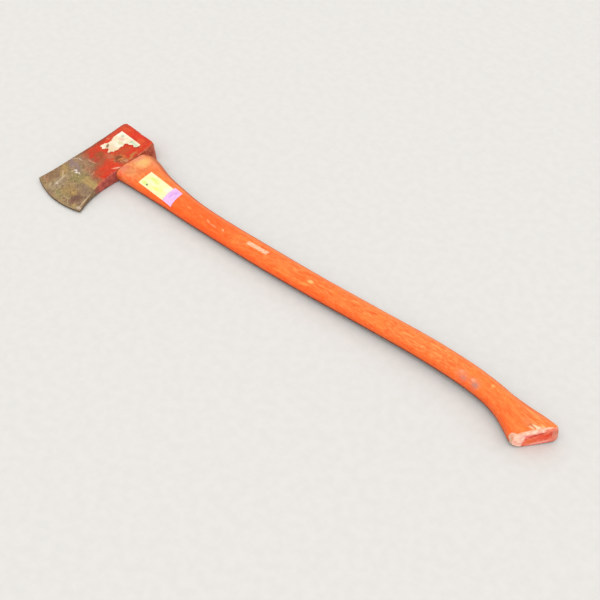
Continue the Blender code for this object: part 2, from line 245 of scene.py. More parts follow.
def store(piece, **layers):
    """Keeps numbers or vectors for each vertex, for the materials to read."""
    for name, values in layers.items():
        values = np.asarray(values, np.float32)
        kind, field = ("FLOAT", "value") if values.ndim == 1 else ("FLOAT_VECTOR", "vector")
        layer = piece.data.attributes.new(name, kind, "POINT")
        layer.data.foreach_set(field, values.ravel())


def dents(points, centres, radii, depths):
    """How far each point is pushed in by round dents."""
    push = np.zeros(len(points))
    for centre, radius, depth in zip(centres, radii, depths):
        d = np.linalg.norm(points - centre, axis=1) / radius
        near = d < 1.0
        push[near] = np.maximum(push[near], depth * (1.0 - d[near] ** 2) ** 2)
    return push


def random_dents(rng, points, where, count, radii, depths):
    centres = points[rng.choice(np.where(where)[0], count, replace=False)]
    return dents(points, centres, rng.uniform(*radii, count), rng.uniform(*depths, count))


def shade(piece, angle):
    piece.data.shade_smooth()
    piece.data.set_sharp_from_angle(angle=math.radians(angle))


def superellipse(half_length, half_width, squareness, angles):
    c, s = np.cos(angles), np.sin(angles)
    power = 2.0 / squareness
    return (half_length * np.sign(c) * np.abs(c) ** power,
            half_width * np.sign(s) * np.abs(s) ** power)


# ---- head ----------------------------------------------------------------------------------

def head_half_thickness(y):
    stations = (CORNER_Y, CORNER_Y + GRIND_LENGTH, CHEEK_BREAK_Y, POLL_Y)
    values = (EDGE_THICKNESS, GRIND_THICKNESS, BREAK_THICKNESS, POLL_THICKNESS)
    return 0.5 * float(np.interp(y, stations, values))


def flare(y, reach, start, power):
    return reach * max(0.0, (start - y) / (start - CORNER_Y)) ** power


def quarter_round(share, radius):
    """How far a rounded corner draws in: nothing at share 0, the radius at share 1."""
    return radius * (1.0 - math.sqrt(1.0 - min(1.0, max(0.0, share)) ** 2))


def head_ring(y, inset=0.0, corner_round=0.0):
    """A section of the head with many points: rounded corners, cheeks and narrow sides."""
    corner_steps, cheek_steps, side_steps = 6, 58, 18
    x0 = CROWN_X - flare(y, *TOE_FLARE) + inset + corner_round
    x1 = UNDER_X + flare(y, *HEEL_FLARE) - inset - corner_round
    half = head_half_thickness(y) - inset
    middle, reach = 0.5 * (x0 + x1), 0.5 * (x1 - x0)
    round_off = min(HEAD_ROUND, 0.7 * half)
    bulge = EDGE_BULGE * max(0.0, (CHEEK_BREAK_Y - y) / (CHEEK_BREAK_Y - CORNER_Y)) ** 2.0
    corners = []
    for corner_x, corner_z, start in ((x1, half, 0.0), (x0, half, 90.0),
                                      (x0, -half, 180.0), (x1, -half, 270.0)):
        centre_x = corner_x - math.copysign(round_off, corner_x - middle)
        centre_z = corner_z - math.copysign(round_off, corner_z)
        angles = [math.radians(start + 90.0 * step / corner_steps)
                  for step in range(corner_steps + 1)]
        corners.append([(centre_x + round_off * math.cos(angle),
                         centre_z + round_off * math.sin(angle)) for angle in angles])
    points = []
    for i, corner in enumerate(corners):
        (x, z), (next_x, next_z) = corner[-1], corners[(i + 1) % 4][0]
        steps = side_steps if i % 2 else cheek_steps
        points += corner
        shares = [step / steps for step in range(1, steps)]
        points += [(x + (next_x - x) * share, z + (next_z - z) * share) for share in shares]
    return np.array([(x, y - bulge * (1.0 - ((x - middle) / reach) ** 2), z)
                     for x, z in points])


def poll_cap(ring, steps=9):
    """Rings that shrink across the striking face until they meet in a line."""
    low, high = ring.min(0), ring.max(0)
    centre = 0.5 * (low + high)
    half = 0.5 * (high - low)[2]
    rings = []
    for step in range(1, steps + 1):
        moved = ring.copy()
        for axis in (0, 2):
            offset = ring[:, axis] - centre[axis]
            moved[:, axis] = centre[axis] + np.sign(offset) * np.maximum(
                np.abs(offset) - half * step / steps, 0)
        rings.append(moved)
    return rings


def eye_size(x):
    """Half length and half width of the eye, which tapers from the crown to the underside."""
    share = (UNDER_X - x) / (UNDER_X - CROWN_X)
    return [0.5 * (under + (crown - under) * share)
            for under, crown in zip(EYE_UNDER, EYE_CROWN)]


def eye_ring(x, clearance, angles=2.0 * math.pi * np.arange(96) / 96.0):
    half_length, half_width = eye_size(x)
    along, across = superellipse(half_length - clearance, half_width - clearance,
                                 EYE_SQUARENESS, angles)
    return np.column_stack((np.full(len(angles), float(x)), EYE_Y + along, across))


def eye_cutter():
    """The eye with a small worn flare at both mouths."""
    return capped_tube("eye_cutter", [eye_ring(x, clearance) for x, clearance in (
        (UNDER_X + 8.0, -1.0), (UNDER_X, -1.0), (UNDER_X - 0.4, -0.35), (UNDER_X - 1.2, 0.0),
        (CROWN_X + 1.6, 0.0), (CROWN_X + 0.6, -0.35), (CROWN_X, -1.0), (CROWN_X - 8.0, -1.0))])


def poll_corner(y):
    """How far the crown and underside ends of a section draw in, close to the poll."""
    return quarter_round((y - (POLL_Y - POLL_CORNER_ROUND)) / POLL_CORNER_ROUND,
                         POLL_CORNER_ROUND)


def build_head():
    rings = []
    chamfer_steps = 10
    for step in range(chamfer_steps):
        angle = math.radians(90.0 * step / chamfer_steps)
        inset = POLL_CHAMFER * (1.0 - math.sin(angle))
        y = POLL_Y - POLL_CHAMFER * (1.0 - math.cos(angle))
        rings.append(head_ring(y, inset, max(0.0, poll_corner(y) - inset)))
    cap = poll_cap(rings[0])[::-1]
    body_end = CORNER_Y + 10.0
    for y in np.arange(POLL_Y - POLL_CHAMFER, body_end, -1.6):
        rings.append(head_ring(y, 0.0, poll_corner(y)))
    for y in np.linspace(body_end, CORNER_Y, 18):
        rings.append(head_ring(y, 0.0, quarter_round(1.0 - (y - CORNER_Y) / TOE_ROUND,
                                                     TOE_ROUND)))
    tip = rings[-1].copy()
    tip[:, 2] *= 0.3
    rings = cap + rings + [tip]
    count = len(tip)
    last = (len(rings) - 1) * count
    faces = ring_faces(len(rings), count) + [tuple(range(last, last + count))]
    head = piece_from("axe_head", np.concatenate(rings), faces)
    clean(head, merge=0.00002)
    cut(head, eye_cutter())
    return head


def edge_line_y(x):
    """Where the cutting edge runs, as seen on the cheek."""
    x0, x1 = CROWN_X - TOE_FLARE[0], UNDER_X + HEEL_FLARE[0]
    across = (x - 0.5 * (x0 + x1)) / (0.5 * (x1 - x0))
    return CORNER_Y - EDGE_BULGE * (1.0 - np.clip(across, -1.0, 1.0) ** 2)


def lay_patches(points, patches, mask, tint):
    """Lays ellipses of colour on the vertices, and gives the colour and how strong it is."""
    colour, amount = np.zeros((len(points), 3)), np.zeros(len(points))
    for x, y, long, short, turn, soft, strength, *shown in patches:
        c, s = math.cos(math.radians(turn)), math.sin(math.radians(turn))
        dx, dy = points[:, 0] - x, points[:, 1] - y
        reach = np.hypot((dx * c + dy * s) / long, (dy * c - dx * s) / short)
        share = np.clip((1.0 + soft - reach) / (2.0 * soft), 0.0, 1.0)
        share = share ** 2 * (3.0 - 2.0 * share) * strength * mask
        colour += (np.array(tint(*shown)[:3]) - colour) * share[:, None]
        amount += share * (1.0 - amount)
    return colour / np.maximum(amount, 1e-4)[:, None], amount


def weather_head(head):
    """Forge waviness, a battered poll, pits, and nicks in the cutting edge."""
    rng = np.random.RandomState(41)
    points, normals, edges = get_points(head), get_normals(head), convexity(head, 3)
    design = points.copy()
    x, y, z = design.T
    # Below 1 inside the eye, 1 on its wall and above 1 in the steel round it.
    half_length, half_width = eye_size(x)
    from_eye = (np.abs((y - EYE_Y) / half_length) ** EYE_SQUARENESS
                + np.abs(z / half_width) ** EYE_SQUARENESS)
    bore = (from_eye < 1.35) & (x > CROWN_X + 0.2) & (x < UNDER_X - 0.2)

    push = 0.20 * swell(points, 24.0, 3)
    push += 0.07 * swell(points, 5.0, 9)
    poll_rim = (y > POLL_Y - POLL_CHAMFER - 1.0) & (edges > 0.24)
    push += random_dents(rng, points, poll_rim, 46, (2.0, 5.5), (0.2, 0.75))
    outer = (edges > 0.48) & (y > CORNER_Y + 12.0)
    push += random_dents(rng, points, outer, 70, (1.6, 4.0), (0.1, 0.35))
    cheek = np.abs(normals[:, 2]) > 0.9
    push += random_dents(rng, points, cheek, 170, (1.4, 4.0), (0.04, 0.16))
    thin = np.clip(np.abs(z) / 5.0, 0.1, 1.0)
    points -= normals * (push * thin * np.where(bore, 0.0, 1.0))[:, None]

    nicks = 22
    reach = np.clip(1.0 - (y - edge_line_y(x)) / 5.0, 0.0, 1.0)
    for centre, width, depth in zip(rng.uniform(-98.0, 8.0, nicks), rng.uniform(0.8, 2.6, nicks),
                                    rng.uniform(0.1, 0.55, nicks)):
        points[:, 1] += depth * np.clip(1.0 - np.abs(x - centre) / width, 0.0, 1.0) * reach
    set_points(head, points)
    store(head, design=design * MM, facing=normals, edge=edges, bore=np.where(bore, 1.0, 0.0))
    cheek = np.clip(z, 0.0, 1.0) * np.clip((normals[:, 2] - 0.5) / 0.3, 0.0, 1.0)
    ragged = design + 8.0 * np.column_stack(
        (fractal(design, 9.0, 51), fractal(design, 9.0, 57), np.zeros(len(design))))
    for name, patches, tint in (("steel", STEEL_PATCHES, rgb), ("stain", STAIN_PATCHES, coat),
                                ("rust", RUST_PATCHES, rgb)):
        colour, amount = lay_patches(ragged, patches, cheek, tint)
        store(head, **{name: colour, name + "_amount": amount})
    shade(head, 38.0)


# ---- handle --------------------------------------------------------------------------------

def section_at(x):
    """Centre, half width, half thickness and squareness at x, smooth between the stations."""
    stations = HANDLE_SECTIONS
    x = np.atleast_1d(np.clip(x, stations[0, 0], stations[-1, 0]))
    k = np.clip(np.searchsorted(stations[:, 0], x, side="left") - 1, 0, len(stations) - 2)
    before = stations[np.maximum(k - 1, 0)]
    start, end = stations[k], stations[k + 1]
    after = stations[np.minimum(k + 2, len(stations) - 1)]
    span = (end[:, 0] - start[:, 0])[:, None]
    t = ((x - start[:, 0])[:, None]) / span
    slope_start = (end - before) / (end[:, :1] - before[:, :1])
    slope_end = (after - start) / (after[:, :1] - start[:, :1])
    value = ((2 * t ** 3 - 3 * t ** 2 + 1) * start + (t ** 3 - 2 * t ** 2 + t) * span * slope_start
             + (3 * t ** 2 - 2 * t ** 3) * end + (t ** 3 - t ** 2) * span * slope_end)
    return value[:, 1:].T


def slanted_ring(x_at, slant, angles):
    """A ring on the handle in a plane that leans by slant, through x_at on the cut's line."""
    low = np.full(len(angles), x_at - 70.0)
    high = np.full(len(angles), x_at + 70.0)
    for _ in range(40):
        x = 0.5 * (low + high)
        centre, *section = section_at(x)
        along, across = superellipse(*section, angles)
        y = centre + along
        ahead = x - x_at - math.tan(slant) * (y - END_CUT[1]) > 0
        high = np.where(ahead, x, high)
        low = np.where(ahead, low, x)
    return np.column_stack((x, y, across))


def even_angles(x, count):
    """Angles that space the points of a section evenly."""
    fine = np.linspace(0.0, 2.0 * math.pi, 2881)
    _, *section = section_at(x)[:, 0]
    along, across = superellipse(*section, fine)
    length = np.concatenate(([0.0], np.cumsum(np.hypot(np.diff(along), np.diff(across)))))
    return np.interp(np.arange(count) / count * length[-1], length, fine)


def build_handle():
    count = 112
    angles = even_angles(400.0, count)
    # The tenon, then the flat underside of the shoulder, then the length of the handle.
    rings = [eye_ring(TENON_END_X, 1.1, angles), eye_ring(TENON_END_X + 0.25, 0.55, angles)]
    rings += [eye_ring(x, 0.3, angles)
              for x in (*np.linspace(TENON_END_X + 0.8, UNDER_X - 0.6, 26), UNDER_X + 0.45)]
    shoulder, first = rings[-1], slanted_ring(UNDER_X + 1.6, 0.0, angles)
    for share, step_down in ((0.3, 0.0), (0.6, 0.0), (0.85, 0.0), (0.96, 0.35)):
        row = shoulder + (first - shoulder) * share
        row[:, 0] = UNDER_X + 0.45 + step_down
        rings.append(row)
    rings += [slanted_ring(x, 0.0, angles) for x in np.arange(UNDER_X + 1.6, KNOB_START_X, 2.1)]
    end_plane = END_CUT[0] - KNOB_ROUND / math.cos(END_SLANT)
    knob_steps = 64
    straight_end = rings[-1][0, 0]
    for step in range(1, knob_steps + 1):
        share = step / knob_steps
        rings.append(slanted_ring(straight_end + (end_plane - straight_end) * share,
                                  END_SLANT * share, angles))
    rings += knob_end(rings[-1])
    last = (len(rings) - 1) * count
    points = np.concatenate(rings)
    points = np.vstack((points, points[last:].mean(0)))
    faces = ring_faces(len(rings), count) + [tuple(range(count))[::-1]]
    faces += [(last + i, last + (i + 1) % count, len(points) - 1) for i in range(count)]
    handle = piece_from("axe_handle", points, faces)
    clean(handle)
    cut(handle, kerf_slab("kerf_cutter", KERF_DEPTH, KERF_MOUTH, KERF_FLOOR))
    cut(handle, cross_slot())
    return handle


def knob_end(rim):
    """Rounds the rim of the knob over and closes its slanted flat end."""
    normal = np.array((math.cos(END_SLANT), -math.sin(END_SLANT), 0.0))
    following = np.roll(rim, -1, axis=0) - np.roll(rim, 1, axis=0)
    following /= np.linalg.norm(following, axis=1)[:, None]
    inward = np.cross(normal, following)
    inward *= np.sign(((rim.mean(0) - rim) * inward).sum(1))[:, None]
    steps = 7
    angles = [math.radians(90.0 * step / steps) for step in range(1, steps + 1)]
    rings = [rim + inward * KNOB_ROUND * (1.0 - math.cos(angle))
             + normal * KNOB_ROUND * math.sin(angle) for angle in angles]
    face = rings[-1]
    centre = face.mean(0)
    return rings + [centre + (face - centre) * share
                    for share in (0.93, 0.84, 0.73, 0.60, 0.46, 0.32, 0.18, 0.07)]


def slab(name, sections):
    """A flat wedge from sections: x, both sides in y and the half thickness."""
    return capped_tube(name, [np.array(((x, y0, -z), (x, y1, -z), (x, y1, z), (x, y0, z)))
                              for x, y0, y1, z in sections])


def kerf_slab(name, depth, mouth, floor, steps=1):
    outer, inner = TENON_END_X - 2.0, TENON_END_X + depth
    half_y = 0.5 * EYE_CROWN[0] + 4.0
    return slab(name, [(outer + (inner - outer) * share, EYE_Y - half_y, EYE_Y + half_y,
                        0.5 * (mouth + (floor - mouth) * share))
                       for share in np.linspace(0.0, 1.0, steps + 1)])


def cross_slab(name, half_width, *ends):
    """The steel wedge, or the slot that it stands in."""
    piece = slab(name, [(x, -half_width, half_width, 0.5 * thickness) for x, thickness in ends])
    turn = Matrix.Rotation(CROSS_WEDGE_ANGLE, 4, "X")
    piece.data.transform(Matrix.Translation((0.0, EYE_Y * MM, 0.0)) @ turn)
    return piece


def cross_slot():
    return cross_slab("cross_slot", 13.8, (TENON_END_X - 2.0, 4.5), (TENON_END_X + 26.3, 1.6))


def end_frame(points):
    """Distance behind the flat end of the knob, distance along it towards the heel, and z."""
    c, s = math.cos(END_SLANT), math.sin(END_SLANT)
    offset = points - np.array((*END_CUT, 0.0))
    return np.column_stack((offset @ (-c, s, 0.0), offset @ (s, c, 0.0), points[:, 2]))


def weather_handle(handle):
    """Shallow dents, grain furrows and a battered rim on the knob."""
    rng = np.random.RandomState(7)
    points, normals = get_points(handle), get_normals(handle)
    design = points.copy()
    centre, half_width, _, _ = section_at(points[:, 0])
    grain = np.column_stack((points[:, 0], points[:, 1] - centre, points[:, 2]))
    outside = points[:, 0] > UNDER_X + 1.2
    end = end_frame(points)
    knob = points[:, 0] > KNOB_START_X

    push = 0.16 * swell(points, 52.0, 21)
    furrow = swell(grain * np.array((0.045, 1.0, 1.0)), 1.6, 31, 2)
    push += 0.035 * furrow
    push += random_dents(rng, points, outside, 130, (1.5, 4.5), (0.04, 0.20))
    rim = (end[:, 0] < 3.4) & (end[:, 0] > 0.2) & knob
    push += random_dents(rng, points, rim, 40, (1.4, 3.6), (0.1, 0.5))
    toe = np.array((790.0, 17.5, 0.0))
    push += dents(points, [toe + (0, 0, 9), toe - (0, 0, 7)], (9.0, 8.0), (0.9, 0.8))
    push = np.where(outside, push, 0.12 * furrow)
    points -= normals * push[:, None]
    set_points(handle, points)

    end[~knob] = (100.0, 0.0, 0.0)
    store(handle, design=design * MM, grain=grain * MM, facing=normals,
          across=grain[:, 1] / half_width, end=end * MM, edge=convexity(handle, 2))
    shade(handle, 42.0)


# ---- wedges --------------------------------------------------------------------------------

def build_kerf_wedge():
    wedge = kerf_slab("wood_wedge", 57.0, KERF_MOUTH - 0.6, KERF_FLOOR - 0.6, 12)
    core = capped_tube("wedge_core", [eye_ring(TENON_END_X + 0.35, 0.3), eye_ring(UNDER_X, 0.3)])
    cut(wedge, core, "INTERSECT")
    cut(wedge, cross_slot())
    refine(wedge, 0.9, 0.18, 0.35, 61)
    return wedge


def build_cross_wedge():
    wedge = cross_slab("steel_wedge", 13.5, (TENON_END_X + 0.4, 4.2), (TENON_END_X + 26.0, 1.0))
    refine(wedge, 1.0, 0.1, 0.3, 67)
    return wedge


def refine(piece, cell, waviness, rounding, seed):
    """Rounds the edges, cuts the faces fine and makes them uneven."""
    modify(piece, "BEVEL", width=rounding * MM, segments=2, limit_method="ANGLE",
           angle_limit=math.radians(40.0))
    mesh = bmesh.new()
    mesh.from_mesh(piece.data)
    bmesh.ops.triangulate(mesh, faces=mesh.faces)
    for _ in range(6):
        long_edges = [e for e in mesh.edges if e.calc_length() > cell * 1.6 * MM]
        if not long_edges:
            break
        bmesh.ops.subdivide_edges(mesh, edges=long_edges, cuts=1)
        bmesh.ops.triangulate(mesh, faces=[f for f in mesh.faces if len(f.verts) > 3])
    mesh.to_mesh(piece.data)
    mesh.free()
    points = get_points(piece)
    store(piece, design=points * MM)
    set_points(piece, points - get_normals(piece) * (waviness * swell(points, 2.4, seed))[:, None])
    shade(piece, 40.0)


# ---- paper labels --------------------------------------------------------------------------

def torn_outline(rng):
    """The outline of the cheek label in small steps, ragged along its ripped sides."""
    outline = []
    corners = CHEEK_LABEL_OUTLINE
    for i, start in enumerate(corners):
        end = corners[(i + 1) % len(corners)]
        length = np.linalg.norm(end - start)
        is_cut = i == 0 or i == len(corners) - 1
        steps = max(2, int(length / 0.45))
        side = np.array((end[1] - start[1], start[0] - end[0])) / length
        for step in range(steps):
            share = step / steps
            point = start + (end - start) * share
            if not is_cut:
                fade = min(1.0, 4.0 * min(share, 1.0 - share) + 0.3)
                along = length * share
                tear = 0.70 * math.sin(0.55 * along + 2.0 * i) + rng.uniform(-0.45, 0.45) * (
                    0.45 + 0.40 * math.sin(0.9 * along + i))
                tear += 0.40 * math.sin(1.37 * along + 1.3 * i) * math.sin(0.41 * along + 0.7 * i)
                point = point + side * fade * tear
            outline.append(point)
    return np.array(outline)


def distance_to(flat, outline):
    return np.sqrt(((flat[:, None, :] - outline[None, :, :]) ** 2).sum(2)).min(1)


def build_cheek_label():
    """What is left of a label on the cheek: two cut edges, two ripped ones that lift a little."""
    rng = np.random.RandomState(5)
    outline = torn_outline(rng)
    cell = 0.9
    xs, ys = (np.arange(v.min(), v.max(), cell) for v in outline.T)
    inner = np.array([(x, y) for x in xs for y in ys])
    inner += rng.uniform(-0.25, 0.25, inner.shape) * cell
    inner = inner[distance_to(inner, outline) > 0.45]
    count = len(outline)
    loop = [(i, (i + 1) % count) for i in range(count)]
    flat = [Vector(p) for p in np.vstack((outline, inner)).tolist()]
    verts, _, faces, *_ = delaunay_2d_cdt(flat, loop, [list(range(count))], 1, 1e-6)
    flat = np.array([tuple(v) for v in verts])

    edge_gap = distance_to(flat, outline)
    clean_side = (flat[:, 1] > 28.6) | (flat[:, 0] < -74.8)
    points = np.column_stack((flat, np.zeros(len(flat))))
    lift = 0.10 + np.where(clean_side, 0.05, 0.55) * np.exp(-edge_gap / 1.8) * (
        0.5 + fractal(points, 6.0, 71))
    lift += 0.10 * np.clip(fractal(points, 9.0, 77), 0.0, 1.0)
    curl = sum(np.clip(1.0 - np.hypot(flat[:, 0] - x, flat[:, 1] - y) / 8.0, 0.0, 1.0)
               for x, y in ((-25.5, 23.4), (-55.5, -16.0)))
    lift += 1.3 * curl ** 2
    points[:, 2] = [head_half_thickness(y) for y in flat[:, 1]] + lift / math.cos(CHEEK_TILT)
    label = piece_from("white_label", points, [tuple(f) for f in faces])
    store(label, design=points * MM,
          torn=np.where(clean_side, 0.25, 1.0) * np.exp(-edge_gap / 1.0))
    return finish_paper(label)


def finish_paper(label):
    clean(label)
    if get_normals(label)[:, 2].mean() < 0:
        label.data.flip_normals()
    modify(label, "SOLIDIFY", thickness=PAPER_THICKNESS * MM, offset=1.0)
    shade(label, 50.0)
    return label


def handle_top(x, y):
    """Height and upward slope of the handle's upper side."""
    centre, half_width, half_thick, squareness = section_at(x)
    across = np.clip((y - centre) / half_width, -0.999, 0.999)
    inside = 1.0 - np.abs(across) ** squareness
    height = half_thick * inside ** (1.0 / squareness)
    fall = -(height / half_width) * np.abs(across) ** (squareness - 1.0) * np.sign(across) / inside
    normal = np.column_stack((np.zeros(len(y)), -fall, np.ones(len(y))))
    return height, normal / np.linalg.norm(normal, axis=1)[:, None]


def build_tag(name, corners, seed, *curls):
    """A paper tag on the handle, with slightly lifted edges and a corner or two curled up."""
    near_start, near_end, far_end, far_start = np.array(corners)
    along, across = 64, 30
    u, v = np.meshgrid(np.linspace(0, 1, along + 1), np.linspace(0, 1, across + 1), indexing="ij")
    u, v = u.ravel()[:, None], v.ravel()[:, None]
    flat = ((near_start * (1 - u) + near_end * u) * (1 - v)
            + (far_start * (1 - u) + far_end * u) * v)
    wobble = np.column_stack((flat, np.zeros(len(flat))))
    border = np.minimum(np.minimum(u, 1 - u) * 3.0, np.minimum(v, 1 - v))[:, 0]
    flat += 0.18 * np.exp(-border * 40.0)[:, None] * np.column_stack(
        (fractal(wobble, 2.0, seed), fractal(wobble, 2.0, seed + 5)))
    lift = 0.12 + 0.10 * np.clip(fractal(wobble, 7.0, seed + 9), 0.0, 1.0)
    lift += 0.16 * np.exp(-border * 16.0) * (0.6 + fractal(wobble, 8.0, seed + 3))
    for corner, reach, rise in curls:
        gap = np.linalg.norm(flat - np.array(corner), axis=1)
        lift += rise * np.clip(1.0 - gap / reach, 0.0, 1.0) ** 2
    height, normal = handle_top(*flat.T)
    design = np.column_stack((flat, height))
    row = across + 1
    faces = [(i * row + j, (i + 1) * row + j, (i + 1) * row + j + 1, i * row + j + 1)
             for i in range(along) for j in range(across)]
    tag = piece_from(name, design + normal * lift[:, None], faces)
    store(tag, design=design * MM, torn=np.exp(-border * 60.0))
    return finish_paper(tag)


# ---- materials -----------------------------------------------------------------------------

TOP_LIGHT = 1.47            # light on a level surface; the photograph is as overexposed
SIDE_LIGHT = 0.66           # how much of it reaches an upright surface
GLOSS_VEIL = 0.018          # what the sheen of a coat adds to its colour


def rgb(red, green, blue, veil=0.0, light=1.0):
    """The colour to give a level surface that should show these values from 0 to 255.

    Values above 255 are brighter than a picture can show.
    """
    def linear(value):
        value /= 255.0
        value = value / 12.92 if value <= 0.04045 else ((value + 0.055) / 1.055) ** 2.4
        return min(1.0, max(0.0, value - veil) / (TOP_LIGHT * light))
    return (linear(red), linear(green), linear(blue), 1.0)


def coat(red, green, blue):
    """The same for a glossy coat."""
    return rgb(red, green, blue, GLOSS_VEIL)


def side(red, green, blue):
    """The same for an upright surface."""
    return rgb(red, green, blue, GLOSS_VEIL, SIDE_LIGHT)


class Recipe:
    """A node material, built up from sockets."""

    def __init__(self, name):
        self.material = bpy.data.materials.new(name)
        self.material.use_nodes = True
        self.tree = self.material.node_tree
        self.shader = self.tree.nodes["Principled BSDF"]

    def put(self, socket, value):
        if isinstance(value, bpy.types.NodeSocket):
            self.tree.links.new(value, socket)
        else:
            socket.default_value = value

    def make(self, kind, inputs, **settings):
        """A new node with these settings, and these values or links in its inputs."""
        node = self.tree.nodes.new("ShaderNode" + kind)
        for name, value in settings.items():
            setattr(node, name, value)
        for key, value in inputs.items():
            self.put(node.inputs[key], value)
        return node

    def attribute(self, name, output="Vector"):
        node = self.make("Attribute", {}, attribute_type="GEOMETRY", attribute_name=name)
        return node.outputs[output]

    def math(self, operation, a, b=0.0, clamp=False):
        return self.make("Math", {0: a, 1: b}, operation=operation, use_clamp=clamp).outputs[0]

    def add(self, *values):
        return reduce(lambda a, b: self.math("ADD", a, b), values)

    def times(self, a, b):
        return self.math("MULTIPLY", a, b)

    def both(self, *values):
        return reduce(lambda a, b: self.math("MULTIPLY", a, b, clamp=True), values)

    def either(self, *values):
        return reduce(lambda a, b: self.math("MAXIMUM", a, b), values)

    def less(self, value):
        return self.math("SUBTRACT", 1.0, value, clamp=True)

    def swing(self, value, amount):
        """Turns noise from 0 to 1 into a push of up to half the amount either way."""
        return self.times(self.add(value, -0.5), amount)

    def vector(self, operation, *values):
        node = self.make("VectorMath", dict(enumerate(values)), operation=operation)
        return node.outputs["Value" if operation == "LENGTH" else 0]

    def split(self, vector):
        return self.make("SeparateXYZ", {0: vector}).outputs

    def noise(self, vector, cell, detail=3.0, rough=0.55, shift=0.0, along=1.0, across=1.0,
              output="Fac"):
        """Noise from 0 to 1 with features about a cell across, in millimetres."""
        factors = tuple(s / (cell * MM) for s in (along, across, 1.0))
        scaled = self.vector("MULTIPLY_ADD", vector, factors, (shift, 0.7 * shift, 0.3 * shift))
        return self.make("TexNoise", {"Vector": scaled, "Scale": 1.0, "Detail": detail,
                                      "Roughness": rough}).outputs[output]

    def ragged(self, flat, place, cell, amount, shift=3.0):
        """Makes every outline that is drawn on a plane ragged, by up to half the amount."""
        push = self.noise(place, cell, 4.0, 0.6, shift, output="Color")
        size = amount * MM
        push = self.vector("MULTIPLY_ADD", push, (size, size, 0.0),
                           (-0.5 * size, -0.5 * size, 0.0))
        return self.vector("ADD", self.vector("MULTIPLY", flat, (1.0, 1.0, 0.0)), push)

    def ragged_face(self, along, z, place):
        """Place along the knob's end and height on it, made ragged."""
        push = self.swing(self.noise(place, 5, 4), 7.0 * MM)
        rise = self.swing(self.noise(place, 3.4, 4, shift=9.0), 4.0 * MM)
        return self.make("CombineXYZ", {0: self.add(along, push), 1: self.add(z, rise)}).outputs[0]

    def step(self, value, low, high, out_low=0.0, out_high=1.0):
        """A smooth step: out_low at low, out_high at high, whichever is the larger."""
        if low > high:
            low, high, out_low, out_high = high, low, out_high, out_low
        return self.make("MapRange", {"Value": value, "From Min": low, "From Max": high,
                                      "To Min": out_low, "To Max": out_high},
                         interpolation_type="SMOOTHSTEP").outputs["Result"]

    def span(self, value, low, high, *outs):
        """A smooth step in millimetres."""
        return self.step(value, low * MM, high * MM, *outs)

    def mix(self, factor, a, b):
        """Mixes colours, which a Mix node has in its seventh and eighth inputs."""
        return self.make("Mix", {0: factor, 6: a, 7: b}, data_type="RGBA").outputs[2]

    def tones(self, value, low, high, a, b):
        return self.mix(self.step(value, low, high), a, b)

    def layers(self, colour, *rows):
        """Lays on colours: each one's colour, amount and masks, a tuple being a smooth step."""
        for shown, amount, *masks in rows:
            share = self.both(*(self.step(*mask) if isinstance(mask, tuple) else mask
                                for mask in masks))
            colour = self.mix(share if amount is None else self.times(share, amount),
                              colour, shown)
        return colour

    def spot(self, flat, x, y, long, short, turn=0.0, soft=0.3):
        """1 inside an ellipse: place and radii in millimetres, turn in degrees."""
        inside = self.make("Mapping", {
            "Vector": flat, "Location": (x * MM, y * MM, 0.0),
            "Rotation": (0.0, 0.0, math.radians(turn)), "Scale": (long * MM, short * MM, 1.0),
        }, vector_type="TEXTURE").outputs["Vector"]
        return self.step(self.vector("LENGTH", inside), 1.0 - soft, 1.0 + soft, 1.0, 0.0)

    def patches(self, colour, flat, mask, rows, tint):
        """Lays ellipses of colour: x, y, two radii, turn, softness, amount, display colour."""
        for *ellipse, amount, red, green, blue in rows:
            colour = self.layers(colour, (tint(red, green, blue), amount,
                                          self.spot(flat, *ellipse), mask))
        return colour

    def bump(self, height, strength, distance):
        node = self.make("Bump", {"Strength": strength, "Distance": distance * MM,
                                  "Height": height})
        self.put(self.shader.inputs["Normal"], node.outputs["Normal"])

    def finish(self, colour, roughness, metallic=0.0, specular=0.5):
        for name, value in (("Base Color", colour), ("Roughness", roughness),
                            ("Metallic", metallic), ("Specular IOR Level", specular)):
            self.put(self.shader.inputs[name], value)
        return self.material


# Wear on the upper cheek: x, y, radii, turn, softness, amount, display colour.
STEEL_PATCHES = table("""
    -62 -54 24 8 -3 0.6 0.7 172 126 98        -44 -56 12 8 20 0.6 0.6 168 104 76
    -93 -52 6 24 3 0.5 0.7 142 104 80         -82 -66 15 6 -8 0.5 0.85 156 130 126
    -66 -72 13 4.5 -4 0.6 0.75 152 126 122    -80 -88 17 5.5 -38 0.6 0.75 188 152 92
    -88 -96 8 8 0 0.6 0.6 152 118 84          -50 -84 17 9 -6 0.6 0.75 156 144 88
    -18 -77 19 6 -4 0.5 0.85 194 162 98       -16 -92 17 8 -18 0.6 0.75 152 126 102
    -91 -110 12 15 0 0.5 0.7 142 106 76       -90 -119 9 3 -10 0.5 0.6 188 138 106
    -67 -111 8 19 4 0.6 0.6 176 156 128       -38 -109 14 9 0 0.6 0.65 172 140 84
    -27 -106 6 3 10 0.5 0.6 208 168 92        -16 -113 11 8 20 0.5 0.8 112 74 64
    -14 -121 6 3.6 20 0.5 0.6 136 84 76       -6 -124 5 3 20 0.5 0.6 196 168 104
    -48 -123 9 5 0 0.5 0.6 150 148 98         3 -100 5 18 6 0.5 0.5 164 130 100
""", 10)
